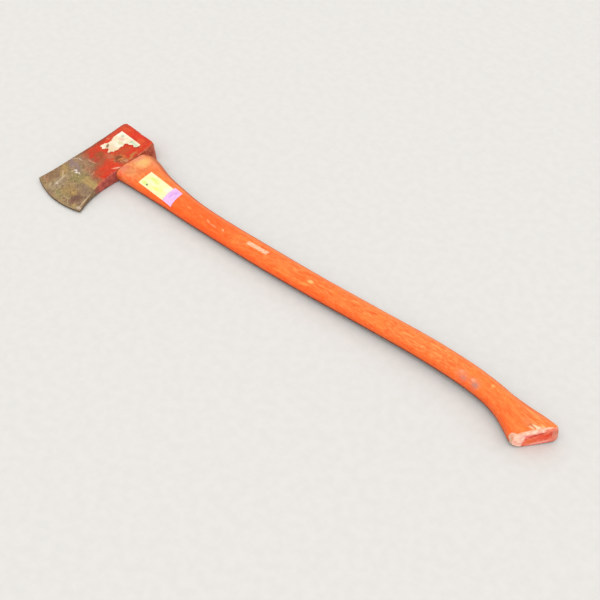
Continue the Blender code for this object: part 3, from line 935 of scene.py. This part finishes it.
STAIN_PATCHES = table("""
    -83 15 5 16 0 0.6 0.55 206 84 62        -84 -8 6 14 0 0.5 0.6 176 54 34
    -82 5 3.4 3 0 0.6 0.8 236 140 100       -85 42 6 6 0 0.6 0.6 200 78 54
    -75 37 8 5 0 0.6 0.6 230 102 62         -48 40 16 5 0 0.6 0.55 242 62 42
    -30 35 9 6 0 0.6 0.6 240 104 60         -20 26 6 12 0 0.6 0.5 226 76 40
    -38 4 9 12 10 0.6 0.85 202 86 48        -27 9 5 8 0 0.6 0.6 230 68 44
    -16 6 3.6 13 2 0.5 0.75 204 138 78      -47 -42 9 18 14 0.6 0.85 168 96 66
    -70 -44 16 3 0 0.6 0.5 190 70 48        -62 -28 9 6.5 -25 0.6 0.9 156 90 48
    -54 -36 4 7 10 0.6 0.6 192 52 40        -75 -33 8 13 8 0.6 0.75 210 58 32
    -46 -20 10 6 -20 0.6 0.9 204 116 84     -34 -30 8 6 -20 0.6 0.65 208 70 40
    -24 -44 11 15 -16 0.5 0.85 228 62 32    -37 -56 9 5 20 0.6 0.6 196 84 54
    -17 -64 13 5 -6 0.6 0.85 224 114 78
""", 10)
RUST_PATCHES = table("""
    -32 -12 6 4.5 25 0.5 0.9 122 66 34        -22 -17.5 9 3 -12 0.5 0.85 126 76 50
    -25 -4 9 3.2 16 0.5 0.9 224 126 58        -38 -17 5.5 4 0 0.5 0.8 168 136 84
    -13.5 -10 4 3 0 0.5 0.8 198 148 108       -24 -9.5 1.3 6 -35 0.5 0.8 236 150 90
    -17 -14 6 1 38 0.6 0.8 232 170 130        -35 -19.5 6 1.1 15 0.6 0.7 226 160 120
""", 10)
SCRATCHES = table("""
    -15 -27.5 7.5 1.5 54 0.5 0.9 250 178 150      -62 -75.6 9.5 0.8 -4 0.6 0.8 232 216 202
    -65 -74 2 1.4 0 0.5 0.9 246 236 226           -61 -77.6 2.6 1.2 20 0.5 0.9 246 236 226
    -55.5 -74.6 1.9 1.1 0 0.5 0.85 240 228 214    -68.5 -78.5 4 0.9 50 0.6 0.6 226 206 186
    -88 -59 6 0.9 46 0.6 0.75 214 188 168         -79.5 -55.2 5.5 0.9 3 0.6 0.75 214 188 168
    -60 -45.6 9 0.9 10 0.6 0.75 226 160 128       -36 -61 4 1 -70 0.6 0.6 220 172 130
    -70 -104 14 1.3 -82 0.7 0.7 210 194 168       -76 -94 9 0.9 -38 0.6 0.7 216 192 160
    -68 -112 3 1.4 0 0.6 0.75 226 210 188         -75 -121 4 1.6 -70 0.6 0.6 206 186 158
    1 -104 20 0.9 -75 0.6 0.75 218 198 164        6 -121 5 2.4 20 0.6 0.75 222 202 182
    -29 -121 8 1.2 12 0.5 0.6 206 184 140
""", 10)
# Marks on the upper side of the handle.
HANDLE_PATCHES = table("""
    8 9 12 11 10 0.6 0.85 252 200 126           -5 12 5 13 0 0.6 0.65 244 148 124
    -4 -22 6 10 0 0.6 0.7 240 134 108           12 -16 10 7 -10 0.6 0.6 236 152 98
    25 -4 4 16 0 0.6 0.5 228 128 78             24 22 10 4 -8 0.5 0.6 252 148 96
    147 -5 5 2 0 0.6 0.45 255 168 96            192 -3.6 5 1.3 -16 0.5 0.5 255 190 140
    205 -4.2 5.5 1.3 6 0.6 0.5 255 190 140      223.4 -0.4 3 1.4 -12 0.6 0.7 255 200 150
    366 20.5 5 1.8 0 0.6 0.55 255 182 108       400 19.4 4.6 2.6 12 0.6 0.9 255 206 130
    396 12 8 1.6 20 0.6 0.5 255 180 94          476 38 6 1.5 20 0.6 0.5 255 180 106
    571 45 7 1.6 15 0.6 0.55 255 182 108        575 62 3 6 30 0.6 0.65 255 104 74
    613 56 9 1.6 12 0.6 0.5 255 184 106         625 47 9 1.4 8 0.6 0.45 255 178 100
    716 58.8 2.6 2.4 0 0.6 0.7 255 194 116      672 46.5 9 6 10 0.6 0.55 242 142 108
    677.5 43 5 3 0 0.8 0.55 212 140 128         669 49 3 2.2 0 0.6 0.5 252 172 134
    694 46.4 8.5 6 0 0.6 0.55 244 148 116       697 44 5 3.6 0 0.8 0.65 186 142 134
    690 48.5 3.4 2 0 0.6 0.6 252 186 156
""", 10)
# Bare wood by the knob's end: distance behind the end, place along it, radii and the rest.
KNOB_PATCHES = table("""
    18 -24 7 6 0 0.7 0.45 255 146 90             9 -20.5 5 4 20 0.7 0.7 240 140 84
    12.5 -22.5 3.4 1.3 60 0.5 0.6 196 112 62     7.5 -17.5 5.5 1.1 -30 0.5 0.65 190 112 62
    6.6 -15.4 6 1.7 -32 0.5 0.95 255 224 180     7 -21.6 4.4 1.3 -32 0.5 0.85 255 206 160
    3.5 -13 3.4 3.2 0 0.6 0.9 255 230 192        5 -7 2.6 2 -30 0.6 0.7 255 206 150
""", 10)
END_PATCHES = table("""
    -25 -4 7 4.5 10 0.7 0.75 228 108 62      -27 -9 7 3 0 0.6 0.6 226 120 92
    -4 0.5 9 4.5 8 0.7 0.75 222 66 44        -14 2.5 7 4 8 0.7 0.6 236 98 74
    -17 6.6 10 1.4 10 0.7 0.7 178 56 44      -29 6.5 7 2 24 0.7 0.85 244 126 128
    -12 -9.8 16 1.8 2 0.6 0.7 244 176 164    2.6 2 0.9 7 0 0.6 0.6 176 52 42
    8.5 -1 4 11 0 0.7 0.75 206 142 126       6 -4 1.6 4 10 0.6 0.6 232 120 96
    10 5 2 4 0 0.6 0.5 184 112 86
""", 10)

def head_material():
    m = Recipe("worn_enamel_on_steel")
    place = m.attribute("design")
    edge = m.attribute("edge", "Fac")
    x, y, z = m.split(place)
    out_x, _, out_z = m.split(m.attribute("facing"))
    cheek = m.both(m.span(z, 0, 2), m.step(out_z, 0.55, 0.85))
    ragged = m.ragged(place, place, 9, 17)

    wide = m.noise(place, 22, 5, 0.62)
    blotch = m.noise(place, 8, 5, 0.65)
    tint = m.noise(place, 10, 5, 0.68, 11)
    small = m.noise(place, 3.4, 5, 0.70)
    grit = m.noise(place, 0.8, 3, 0.6)
    slant = m.make("Mapping", {"Vector": place, "Rotation": (0.0, 0.0, math.radians(38.0))},
                   vector_type="POINT").outputs["Vector"]
    drag = m.noise(slant, 2.6, 4, 0.7, along=0.16)

    # Stained steel: brown, olive and grey, with dark pits and pale rubbed streaks.
    steel = m.layers(
        m.tones(blotch, 0.40, 0.60, rgb(136, 106, 78), rgb(176, 148, 104)),
        (rgb(166, 150, 92), 0.65, (tint, 0.50, 0.62)),
        (rgb(152, 120, 104), 0.65, (tint, 0.46, 0.36)),
        (m.attribute("steel", "Color"), None, m.attribute("steel_amount", "Fac")),
        (rgb(96, 68, 50), 0.75, (small, 0.47, 0.34)),
        (rgb(212, 180, 134), 0.55, (small, 0.55, 0.68)),
        (rgb(208, 184, 144), 0.50, (drag, 0.56, 0.68)),
        (rgb(108, 82, 60), 0.40, (drag, 0.42, 0.32)))

    # The enamel fades out across the bit, further down towards the heel and on the underside.
    flat_x, flat_y, _ = m.split(ragged)
    under = m.step(out_x, 0.45, 0.80)
    line = m.add(flat_y, m.span(flat_x, -52, -30, 44.0 * MM, 64.0 * MM))
    line = m.add(line, m.add(m.swing(small, 22.0 * MM), m.swing(blotch, 22.0 * MM)))
    line = m.add(line, m.times(under, 12.0 * MM))
    bare = m.both(m.spot(ragged, -27, -11, 15, 9.5, 8, 0.5), cheek)
    chips = m.both(m.step(small, 0.62, 0.66), m.step(blotch, 0.48, 0.58))
    worn_edge = m.step(m.add(edge, m.swing(small, 1.6)), 0.50, 0.68)
    enamel = m.both(m.span(line, -9, 8), m.less(m.times(chips, 0.8)),
                    m.less(m.times(worn_edge, 0.75)))

    # Red enamel, browned where it thins out; on the rounded crown edge it is darker brown, partly
    # worn and partly painted shade. The underside is dull, and grimy towards the heel.
    rust = m.layers(m.tones(small, 0.42, 0.58, rgb(148, 80, 44), rgb(196, 124, 70)),
                    (m.attribute("rust", "Color"), None, m.attribute("rust_amount", "Fac")))
    crown = m.span(m.add(x, m.swing(small, 8.0 * MM)), -83.5, -89)
    plain = m.tones(blotch, 0.42, 0.58, side(158, 76, 60), side(190, 108, 84))
    grimy = m.tones(blotch, 0.42, 0.58, side(156, 82, 76), side(188, 100, 88))
    red = m.layers(
        m.tones(wide, 0.38, 0.62, coat(212, 58, 32), coat(232, 74, 42)),
        (m.attribute("stain", "Color"), None, m.attribute("stain_amount", "Fac")),
        (coat(164, 96, 60), 0.60, m.span(line, 36, 4), (tint, 0.44, 0.60)),
        (coat(156, 46, 30), 0.50, (small, 0.46, 0.34)),
        (coat(240, 122, 80), 0.35, (small, 0.57, 0.70)),
        (coat(226, 122, 76), 0.35, (drag, 0.56, 0.68)),
        (rust, 0.92, bare),
        # Darker brown on the rounded crown edge: worn enamel and painted shade.
        (coat(142, 80, 58), 0.75, crown, m.span(y, 30, 5, 0.40, 1.0)),
        (m.mix(m.span(y, -26, -36), plain, grimy), 0.92, under))
    dull = m.tones(small, 0.4, 0.6, side(112, 90, 72), side(150, 126, 96))
    colour = m.mix(enamel, m.layers(steel, (dull, 0.75, under)), red)
    colour = m.layers(
        colour,
        (rgb(128, 74, 50), 0.35, (enamel, 0.1, 0.5), (enamel, 0.95, 0.55)),
        # Darker brown on faces turned up towards the crown: painted shade, with some wear.
        (rgb(104, 74, 56), 0.60, (out_x, -0.15, -0.50), (out_z, 0.15, 0.45)))
    colour = m.patches(colour, m.ragged(place, place, 3, 2.6), cheek, SCRATCHES, rgb)

    # The cutting edge: a thin dark line of painted shadow along it, with a slightly brighter bevel
    # above it. Oxide inside.
    thin = m.math("ABSOLUTE", z)
    low = m.span(y, -90, -112)
    colour = m.layers(
        colour,
        (rgb(168, 140, 108), 0.35, m.span(thin, 2, 1.5), low),
        # Painted shadow: the thin dark line along the cutting edge.
        (m.tones(small, 0.4, 0.6, rgb(74, 54, 42), rgb(122, 96, 72)), None,
         m.span(thin, 1, 0.6), low),
        (m.tones(small, 0.4, 0.6, rgb(48, 36, 32), rgb(84, 62, 50)), None,
         m.attribute("bore", "Fac")))

    roughness = m.add(m.step(enamel, 0.0, 1.0, 0.60, 0.40), m.swing(small, 0.30),
                      m.times(bare, 0.20))
    metallic = m.both(m.less(enamel), m.step(small, 0.50, 0.66, 0.05, 0.30))
    height = m.add(m.times(enamel, 0.8), m.times(small, 0.9))
    m.bump(m.add(height, m.times(grit, 0.30)), 0.6, 0.28)
    return m.finish(colour, roughness, metallic, specular=0.20)


def handle_material():
    m = Recipe("painted_hickory")
    place = m.attribute("design")
    grain = m.attribute("grain")
    across = m.attribute("across", "Fac")
    end = m.attribute("end")
    x, y, z = m.split(place)
    depth, along, _ = m.split(end)
    out_z = m.split(m.attribute("facing"))[2]
    top = m.span(z, 0, 2)

    patch = m.noise(place, 30, 4, 0.6)
    broad = m.noise(grain, 17, 3, 0.6, along=0.12)
    streak = m.noise(grain, 3.4, 5, 0.72, along=0.17)
    fine = m.noise(grain, 1.1, 4, 0.7, along=0.05)
    mottle = m.noise(place, 6, 5, 0.65, along=0.7)
    speck = m.noise(grain, 2.6, 4, 0.7, along=0.35)
    grit = m.noise(place, 0.9, 3, 0.6)

    # Orange-red paint that lets the grain of the wood through, threadbare at the grip.
    bend = m.swing(m.noise(grain, 46, 3, 0.5, 2, along=0.30), 90.0 * MM)
    _, grain_y, grain_z = m.split(grain)
    sway = m.add(m.add(grain_y, m.times(grain_z, 0.4)), bend)
    rings = m.math("SINE", m.times(sway, 2.0 * math.pi / (4.2 * MM)))
    tone = m.add(m.times(m.step(streak, 0.34, 0.66), 0.62), m.times(rings, 0.13),
                 m.times(m.step(mottle, 0.36, 0.64), 0.25))
    thread = m.add(m.times(m.step(speck, 0.36, 0.62), 0.55),
                   m.times(m.step(fine, 0.32, 0.66), 0.45))
    colour = m.layers(
        m.mix(tone, coat(264, 104, 40), coat(280, 158, 86)),
        (coat(266, 104, 42), 0.50, m.span(x, 100, 130), m.span(x, 270, 210)),
        (m.mix(thread, coat(250, 98, 40), coat(272, 170, 94)), None,
         m.span(x, 400, 540, 0.0, 0.75), m.span(x, 630, 720, 1.0, 0.55)),
        (coat(276, 150, 70), 0.40, (patch, 0.50, 0.66)),
        (coat(270, 106, 44), 0.30, (broad, 0.44, 0.32)),
        (coat(222, 78, 32), 0.60, (fine, 0.43, 0.30)),
        (coat(290, 176, 108), 0.35, (fine, 0.60, 0.72)))

    # Paler, rubbed wood at the shoulder.
    rubbed = m.layers(m.tones(mottle, 0.40, 0.60, coat(226, 116, 74), coat(250, 172, 116)),
                      (coat(252, 184, 120), 0.5, (streak, 0.44, 0.60)))
    shoulder = m.span(m.add(x, m.swing(mottle, 30.0 * MM)), 50, 2)
    colour = m.layers(colour, (rubbed, 0.80, shoulder))
    colour = m.patches(colour, m.ragged(place, place, 3, 2.4), top, HANDLE_PATCHES, coat)

    # The far side is paler, with painted sheen, and has a brown last edge; the near lower edge is
    # redder, and the underside is painted dark brown as painted shade. Wood shows in flecks.
    last = m.both(m.step(across, 0.64, 0.84), m.span(x, 430, 330, 0.35, 1.0))
    wood = m.tones(fine, 0.35, 0.65, rgb(240, 172, 112), rgb(262, 218, 166))
    fleck = m.both(m.step(speck, 0.63, 0.68), m.step(patch, 0.42, 0.58))
    fleck = m.either(fleck, m.both(m.step(m.attribute("edge", "Fac"), 0.30, 0.6),
                                   m.step(speck, 0.54, 0.64)))
    colour = m.layers(
        colour,
        # Painted sheen: paler on the far upper side.
        (coat(262, 170, 118), 0.25, (across, 0.36, 0.62), top),
        (coat(182, 82, 52), 0.60, last),
        (coat(286, 96, 40), 0.40, (across, -0.72, -0.92)),
        # Painted shade: dark brown where the surface faces down.
        (coat(108, 42, 28), 0.88, (out_z, 0.05, -0.22)),
        (wood, 0.65, fleck),
        (coat(214, 66, 34), 0.60, (speck, 0.37, 0.32), (patch, 0.60, 0.44)))

    # The faded printed mark: a pale worn block with no readable text.
    mark_x, mark_y, _ = m.split(m.ragged(place, place, 2.2, 2.2))
    tilt = m.add(mark_y, m.times(m.add(mark_x, -291.0 * MM), -0.13))
    block = m.both(m.span(m.math("ABSOLUTE", m.add(mark_x, -291.2 * MM)), 21, 19.4),
                   m.span(m.math("ABSOLUTE", m.add(tilt, -11.2 * MM)), 4, 2.8), top)
    ink = m.noise(place, 2.6, 3, 0.6, along=0.8)

    # The knob: pale grain lines on the heel side, bare wood along its rim and toe.
    lines = m.noise(place, 1.8, 4, 0.7, 5, along=0.06)
    heel_side = m.both(m.span(x, 758, 780), m.span(y, 43, 51), top)
    colour = m.layers(
        colour,
        (rgb(258, 214, 178), None, block, (ink, 0.38, 0.56, 0.45, 0.95)),
        (rgb(262, 194, 112), 0.45, heel_side, (lines, 0.50, 0.60)),
        (coat(262, 92, 36), 0.50, heel_side, (lines, 0.46, 0.38)))
    colour = m.patches(colour, m.ragged(end, place, 2.6, 2.6, 7.0),
                       m.both(top, m.span(x, 745, 765)), KNOB_PATCHES, rgb)
    rub = m.noise(end, 1.8, 4, 0.7, across=0.30)
    toe = m.span(along, -40, -49)
    reach = m.add(m.times(toe, 4.8 * MM), m.add(m.swing(rub, 3.0 * MM), 3.2 * MM))
    reach = m.add(reach, m.span(z, -4, 5, -2.2 * MM, 0.0), m.span(along, -2, 8, 0.0, -1.8 * MM))
    side_wear = m.span(m.add(depth, m.times(reach, -1.0)), 0.6, -0.6)
    soft = m.noise(place, 7, 4, 0.55, 4)
    worn = m.tones(soft, 0.36, 0.60, rgb(248, 174, 136), rgb(256, 216, 186))

    # Its end: red paint with dark and pale marks, worn to cream at the toe and the upper rim.
    flat_end = m.ragged_face(along, z, place)
    face_along, face_z, _ = m.split(flat_end)
    upper = m.both(m.span(m.add(face_z, m.times(face_along, -0.02)), 9, 10.6),
                   m.span(along, -2, -9, 0.15, 1.0))
    bare_toe = m.span(m.add(face_along, m.times(face_z, -0.30)), -31.5, -35.5)
    face = m.tones(mottle, 0.38, 0.62, side(216, 94, 74), side(238, 128, 102))
    face = m.layers(
        m.patches(face, flat_end, 1.0, END_PATCHES, side),
        (side(250, 178, 154), 0.45, (rub, 0.58, 0.70)),
        (side(182, 60, 42), 0.40, (rub, 0.42, 0.32)),
        (m.tones(soft, 0.38, 0.62, side(240, 172, 154), side(252, 210, 188)), 0.92,
         m.either(upper, bare_toe)))

    # Bare end grain and oiled wood inside the eye.
    growth = m.make("TexWave", {"Vector": m.vector("MULTIPLY", place, (40.0, 330.0, 60.0)),
                                "Scale": 0.5, "Distortion": 3.5, "Detail": 3.0},
                    wave_type="BANDS", bands_direction="Y").outputs["Fac"]
    pores = m.make("TexVoronoi", {"Vector": m.vector("MULTIPLY", place, PORES_PER_METRE),
                                  "Scale": 1.0}).outputs["Distance"]
    stain = m.noise(place, 7, 4)
    end_grain = m.layers(
        m.mix(growth, rgb(168, 118, 76), rgb(212, 164, 110)),
        (rgb(96, 64, 42), 0.6, m.less(m.step(pores, 0.16, 0.34))),
        (rgb(196, 84, 54), 0.5, (stain, 0.46, 0.66)),
        (rgb(84, 60, 44), 0.5, (stain, 0.46, 0.32)))
    in_eye = m.span(x, UNDER_X + 1.2, UNDER_X + 0.4)
    colour = m.layers(colour, (worn, 0.94, side_wear), (face, None, m.span(depth, 1.3, 0.5)),
                      (end_grain, None, in_eye))

    roughness = m.add(m.step(streak, 0.25, 0.75, 0.44, 0.58),
                      m.times(m.either(side_wear, fleck, in_eye), 0.2))
    height = m.add(m.times(fine, 0.6), m.times(streak, 0.9))
    m.bump(m.add(height, m.times(grit, 0.12), m.times(fleck, -0.35)), 0.6, 0.30)
    return m.finish(colour, roughness, specular=0.20)


def wood_wedge_material():
    m = Recipe("wedge_wood")
    place = m.attribute("design")
    lines = m.noise(place, 1.3, 4, 0.65, along=0.05)
    stain = m.noise(place, 5, 4)
    colour = m.layers(m.tones(lines, 0.35, 0.65, rgb(158, 112, 70), rgb(214, 172, 118)),
                      (rgb(176, 62, 40), 0.7, (stain, 0.50, 0.62)),
                      (rgb(84, 58, 42), 0.5, (stain, 0.44, 0.30)))
    m.bump(lines, 0.5, 0.2)
    return m.finish(colour, m.step(stain, 0.3, 0.7, 0.6, 0.8), specular=0.3)


def steel_wedge_material():
    m = Recipe("wedge_steel_rusted")
    rust = m.noise(m.attribute("design"), 2.4, 5, 0.65)
    colour = m.tones(rust, 0.42, 0.60, rgb(132, 126, 118), rgb(122, 78, 50))
    m.bump(rust, 0.5, 0.15)
    return m.finish(colour, m.step(rust, 0.4, 0.6, 0.38, 0.75),
                    m.step(rust, 0.42, 0.60, 0.9, 0.1))


# Base colour, shaded colour, torn edge and blurred smudges, in place of anything printed.
WHITE_PAPER = ((255, 250, 228), (248, 228, 190), (252, 226, 196), table("""
    -60 -6 14 8 0 0.6 0.7 240 208 164           -62 18 6 4 20 0.5 0.7 238 196 176
    -66.5 24 3 3 0 0.5 0.65 180 192 162         -36 25 11 2 -3 0.5 0.75 184 226 194
    -44 24 2.2 2.6 0 0.5 0.6 168 200 176        -56 11.5 7 3 15 0.5 0.6 216 208 152
    -68.5 -6.8 4.6 2.1 -48 0.5 0.9 132 92 66    -61 -12.5 0.8 3 -20 0.5 0.7 176 120 80
    -75 6 2.2 4 0 0.5 0.6 248 192 182
""", 10))
YELLOW_PAPER = ((253, 255, 200), (250, 252, 178), (255, 255, 222), table("""
    53.5 -4 5.5 2.6 0 0.5 0.7 228 248 104    64 -5 6 3 -10 0.5 0.55 234 246 118
    73 -14.5 7.5 3 5 0.5 0.65 246 248 104    86 -11 6 3 0 0.5 0.55 246 250 124
    48 -17.5 5.5 3 0 0.5 0.65 226 246 112    90 -3 6 9 0 0.6 0.6 254 255 230
    60 -10.5 9 2 0 0.6 0.5 255 255 226       54.2 -18 2.2 1.5 0 0.4 0.9 110 124 44
""", 10))
LILAC_PAPER = ((250, 204, 252), (240, 188, 244), (255, 226, 255), table("""
    106.5 1 3.2 3 0 0.5 0.6 216 166 242    104 -8 2.4 5 12 0.5 0.6 214 154 240
    112 -7 2 4 0 0.5 0.5 224 176 246
""", 10))

def paper_material(name, base, shaded, torn_edge, smudges):
    m = Recipe(name + "_paper")
    place = m.attribute("design")
    fibre = m.noise(place, 0.45)
    dirt = m.noise(place, 11, 4, 0.55)
    rumple = m.noise(place, 3)
    colour = m.tones(dirt, 0.58, 0.36, rgb(*base), rgb(*shaded))
    colour = m.patches(colour, m.ragged(place, place, 4, 3), 1.0, smudges, rgb)
    colour = m.layers(colour, (rgb(*torn_edge), 0.7, (m.attribute("torn", "Fac"), 0.3, 0.9)))
    m.bump(m.add(m.times(fibre, 0.4), rumple), 0.30, 0.10)
    return m.finish(colour, m.step(fibre, 0.3, 0.7, 0.62, 0.78), specular=0.2)


# ---- putting it together -------------------------------------------------------------------

def main():
    """Builds the pieces and lays them where the CAD model lies: on one cheek and the knob."""
    head, handle = build_head(), build_handle()
    weather_head(head)
    weather_handle(handle)
    wood_wedge, steel_wedge = build_kerf_wedge(), build_cross_wedge()
    white_label = build_cheek_label()
    yellow_tag = build_tag("yellow_label", YELLOW_TAG_CORNERS, 81,
                           ((38.8, -23.0), 9.0, 0.9), ((37.6, 4.4), 5.0, 0.4))
    lilac_tag = build_tag("lilac_label", LILAC_TAG_CORNERS, 93, ((118.6, -20.8), 6.0, 0.7))
    turn = Matrix.Rotation(REST_PITCH, 4, "Y") @ Matrix.Rotation(REST_ROLL, 4, "X")
    for piece, material, node, slot in (
        (head, head_material(), "head", "worn_red_paint_on_steel"),
        (handle, handle_material(), "handle", "orange_red_painted_hickory"),
        (wood_wedge, wood_wedge_material(), "kerf_wedge", "bare_wedge_wood"),
        (steel_wedge, steel_wedge_material(), "cross_wedge", "wedge_steel"),
        (white_label, paper_material("white_label", *WHITE_PAPER), "cheek_label",
         "torn_white_paper"),
        (yellow_tag, paper_material("yellow_label", *YELLOW_PAPER), "yellow_tag", "yellow_paper"),
        (lilac_tag, paper_material("lilac_label", *LILAC_PAPER), "lilac_tag", "lilac_paper"),
    ):
        piece.data.materials.append(material)
        piece.data.transform(Matrix.Translation(REST_AT_METRES) @ turn)
        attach(piece, "root")
        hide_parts(node)


# ---- studio --------------------------------------------------------------------------------

SKY_COLOUR = (1.0, 0.985, 0.965, 1.0)
SKY_LOW = 0.82              # the same as the lit floor, so that they meet unseen
SKY_HIGH = 1.32
SKY_RISE = (0.10, 0.80)     # the heights between which it grows brighter
KEY_STRENGTH = 1.10
KEY_SPREAD = 40.0
KEY_COLOUR = (1.0, 0.985, 0.96)
KEY_FROM = (0.34, -0.44, 1.0)
FLOOR_HALF_METRES = 30.0
LENS = 72.82
SENSOR_WIDTH = 36.0
CAMERA_AT_METRES = (0.99952, -0.80132, 1.23337)
CAMERA_FORWARD = (-0.542988, 0.469574, -0.696178)
CAMERA_UP = (-0.509156, 0.475166, 0.717620)


def build_floor():
    corners = np.array(((-1, -1, 0), (1, -1, 0), (1, 1, 0), (-1, 1, 0))) * FLOOR_HALF_METRES
    floor = piece_from("studio_floor", corners / MM, [(0, 1, 2, 3)])
    m = Recipe("pale_floor")
    mottle = m.noise(m.make("TexCoord", {}).outputs["Object"], 14, 4)
    colour = m.tones(mottle, 0.3, 0.7, rgb(231, 230, 227), rgb(235, 234, 232))
    floor.data.materials.append(m.finish(colour, 0.8, specular=0.1))


def build_studio():
    """A pale sky, brighter overhead, and one large soft light high on the viewer's side."""
    build_floor()
    world = bpy.data.worlds.new("studio")
    bpy.context.scene.world = world
    world.use_nodes = True
    nodes, links = world.node_tree.nodes, world.node_tree.links
    background = nodes["Background"]
    background.inputs["Color"].default_value = SKY_COLOUR
    height = nodes.new("ShaderNodeSeparateXYZ")
    links.new(nodes.new("ShaderNodeTexCoord").outputs["Generated"], height.inputs[0])
    rise = nodes.new("ShaderNodeMapRange")
    rise.interpolation_type = "SMOOTHSTEP"
    for name, value in zip(("From Min", "From Max", "To Min", "To Max"),
                           (*SKY_RISE, SKY_LOW, SKY_HIGH)):
        rise.inputs[name].default_value = value
    links.new(height.outputs["Z"], rise.inputs["Value"])
    links.new(rise.outputs["Result"], background.inputs["Strength"])
    data = bpy.data.lights.new("key", "SUN")
    data.energy = KEY_STRENGTH
    data.angle = math.radians(KEY_SPREAD)
    data.color = KEY_COLOUR
    light = bpy.data.objects.new("key", data)
    bpy.context.scene.collection.objects.link(light)
    light.rotation_mode = "QUATERNION"
    light.rotation_quaternion = Vector(KEY_FROM).to_track_quat("Z", "Y")


def build_camera():
    """The view of the photograph: down at 44 degrees, with the knob nearest."""
    data = bpy.data.cameras.new("view")
    data.sensor_width = SENSOR_WIDTH
    data.lens = LENS
    camera = bpy.data.objects.new("view", data)
    bpy.context.scene.collection.objects.link(camera)
    forward, up = Vector(CAMERA_FORWARD).normalized(), Vector(CAMERA_UP).normalized()
    right = forward.cross(up).normalized()
    axes = Matrix((right, right.cross(forward), -forward)).transposed()
    camera.matrix_world = Matrix.Translation(CAMERA_AT_METRES) @ axes.to_4x4()
    bpy.context.scene.camera = camera


main()
build_studio()
build_camera()
bpy.context.scene.view_settings.view_transform = "Standard"
